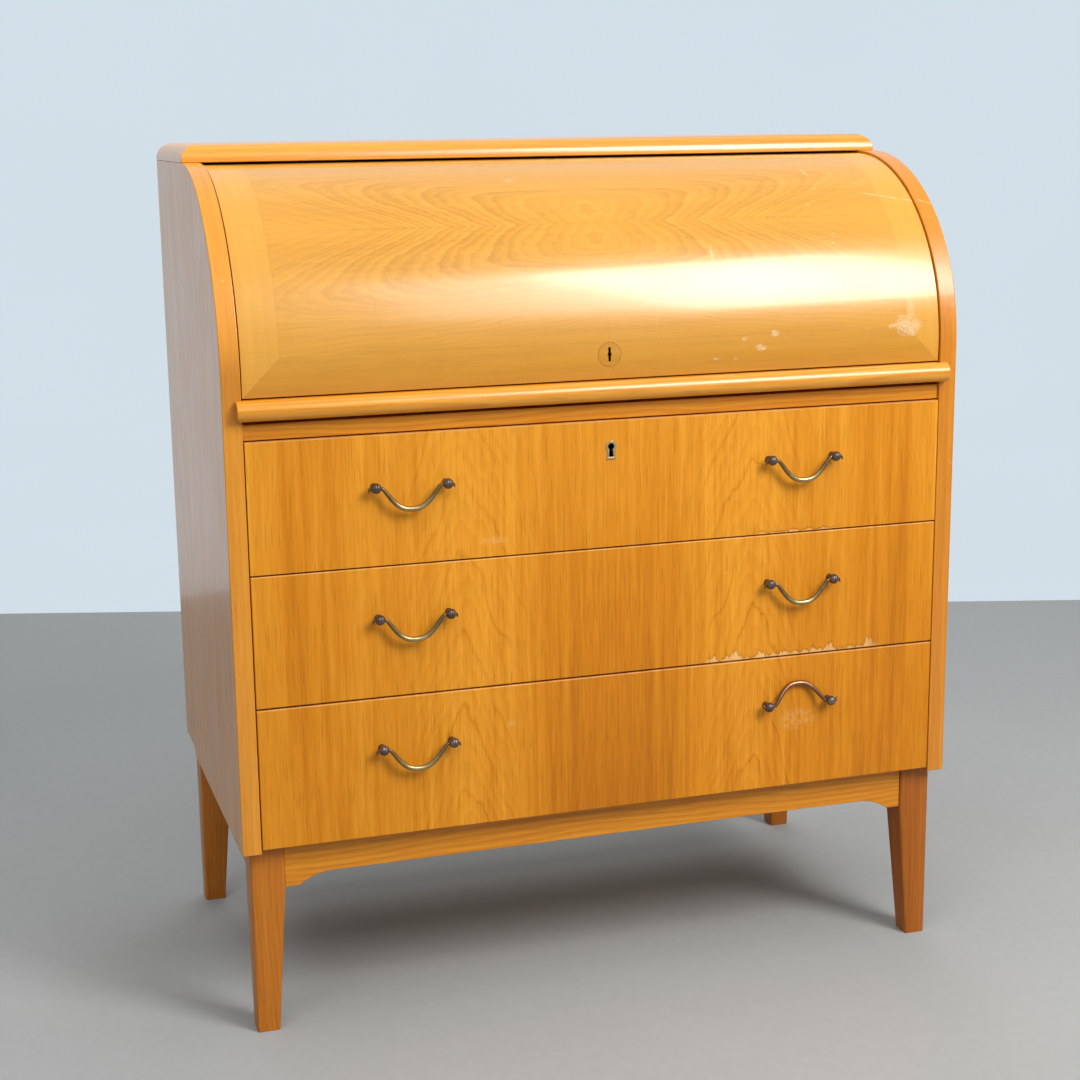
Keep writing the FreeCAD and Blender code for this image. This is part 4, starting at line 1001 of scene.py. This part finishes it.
def backdrop_material(name, tone):
    """Plain pale paper: even to the eye and in reflections, and matt for the light that falls on it."""
    g = Surface(name)
    x, y, z = g.place()
    cloud = g.noise(x * 0.7, y * 0.7, z * 0.7, detail=3)
    colour = g.ramp(cloud, (0.3, 0.7), ([channel * 0.985 for channel in tone], tone))
    looked_at = g.seen()
    g.set(Base_Color=g.mix(looked_at, colour, (0.0, 0.0, 0.0)), Emission_Color=colour,
          Emission_Strength=looked_at, Roughness=0.9, Specular_IOR_Level=0.0)
    return g.material


def make_stage():
    """Pale floor, and behind it a paler backdrop that starts on the floor, square to the camera's heading."""
    bend_start = WALL - WALL_BEND
    rows = [(FLOOR_NEAR, 0.0), (PAPER_START, 0.0), (bend_start, 0.0)]
    for step in range(1, BEND_STEPS + 1):
        turn = math.radians(90) * step / BEND_STEPS
        rows.append((bend_start + WALL_BEND * math.sin(turn), WALL_BEND - WALL_BEND * math.cos(turn)))
    rows.append((WALL, WALL_TOP))
    start = Vector((EYE.x, EYE.y, 0))
    ahead = Vector((math.sin(YAW), math.cos(YAW), 0))
    side = Vector((math.cos(YAW), -math.sin(YAW), 0))
    shape = bmesh.new()
    lines = []
    for run, height in rows:
        base = start + ahead * run + Vector((0, 0, height))
        lines.append([shape.verts.new(base + side * way) for way in (-HALF_WIDTH, HALF_WIDTH)])
    for index, (before, after) in enumerate(zip(lines, lines[1:])):
        face = shape.faces.new((before[0], before[1], after[1], after[0]))
        face.material_index = min(index, 1)
        face.smooth = True
    mesh = bpy.data.meshes.new("floor")
    shape.to_mesh(mesh)
    shape.free()
    mesh.materials.append(stage_material("pale_floor", FLOOR, FLOOR_SPREAD))
    mesh.materials.append(backdrop_material("pale_backdrop", PAPER))
    floor = bpy.data.objects.new("floor", mesh)
    bpy.context.scene.collection.objects.link(floor)


def area_light(name, place, target, size, power, colour, mirrored=True):
    """Soft lamp; one that isn't mirrored lights the part but leaves no highlight."""
    light = bpy.data.lights.new(name, "AREA")
    light.shape = "RECTANGLE"
    light.size, light.size_y = size
    light.energy = power
    light.color = colour
    lamp = bpy.data.objects.new(name, light)
    bpy.context.scene.collection.objects.link(lamp)
    toward = Vector(target) - Vector(place)
    lamp.location = place
    lamp.rotation_euler = toward.to_track_quat("-Z", "Y").to_euler()
    lamp.visible_camera = False
    lamp.visible_glossy = mirrored


def make_world():
    """The backdrop's pale tone all round, as a dim light on the part."""
    world = bpy.data.worlds.new("studio")
    bpy.context.scene.world = world
    world.use_nodes = True
    g = Graph(world.node_tree)
    sky = g.tree.nodes["Background"]
    sky.inputs["Color"].default_value = (*PAPER, 1)
    g.put(sky.inputs["Strength"], g.most(g.seen(), WORLD_LIGHT))


def make_lights():
    """A key lamp in two parts at the right, and soft lamps above, at the left and behind."""
    middle = (0.1, -0.2, 0.85)
    warm = (1.0, 0.98, 0.95)
    white = (1.0, 0.99, 0.98)
    area_light("key", (1.50, -2.37, 2.56), middle, (0.98, 1.55), 85, warm)
    area_light("key_side", (0.80, -2.60, 2.56), middle, (0.75, 1.40), 15, warm)
    area_light("ceiling", (-0.4, -0.9, 4.1), (-0.4, -0.9, 0.0), (5.0, 4.0), 99, white, mirrored=False)
    area_light("fill", (-1.9, -2.5, 3.3), middle, (3.0, 1.6), 38, white, mirrored=False)
    area_light("rear", (0.3, 2.1, 3.0), (0.0, 0.2, 0.6), (2.4, 1.4), 36, white, mirrored=False)


def make_camera():
    """The photograph's camera."""
    ahead = Vector((math.sin(YAW) * math.cos(PITCH), math.cos(YAW) * math.cos(PITCH), -math.sin(PITCH)))
    level = Vector((math.cos(YAW), -math.sin(YAW), 0))
    upward = level.cross(ahead)
    right = level * math.cos(ROLL) + upward * math.sin(ROLL)
    up = upward * math.cos(ROLL) - level * math.sin(ROLL)
    data = bpy.data.cameras.new("camera")
    data.sensor_width = SENSOR
    data.lens = SENSOR * FOCAL_PIXELS / PHOTO_PIXELS
    camera = bpy.data.objects.new("camera", data)
    bpy.context.scene.collection.objects.link(camera)
    turn = Matrix((right, up, -ahead)).transposed().to_4x4()
    camera.matrix_world = Matrix.Translation(EYE) @ turn
    bpy.context.scene.camera = camera


def main():
    """Looks, finer shapes, stage, world, lights and camera."""
    bpy.context.scene.view_settings.view_transform = "Standard"
    dress_boards()
    make_shell()
    make_panels()
    make_moulding()
    make_bails()
    make_posts()
    make_stage()
    make_world()
    make_lights()
    make_camera()


main()
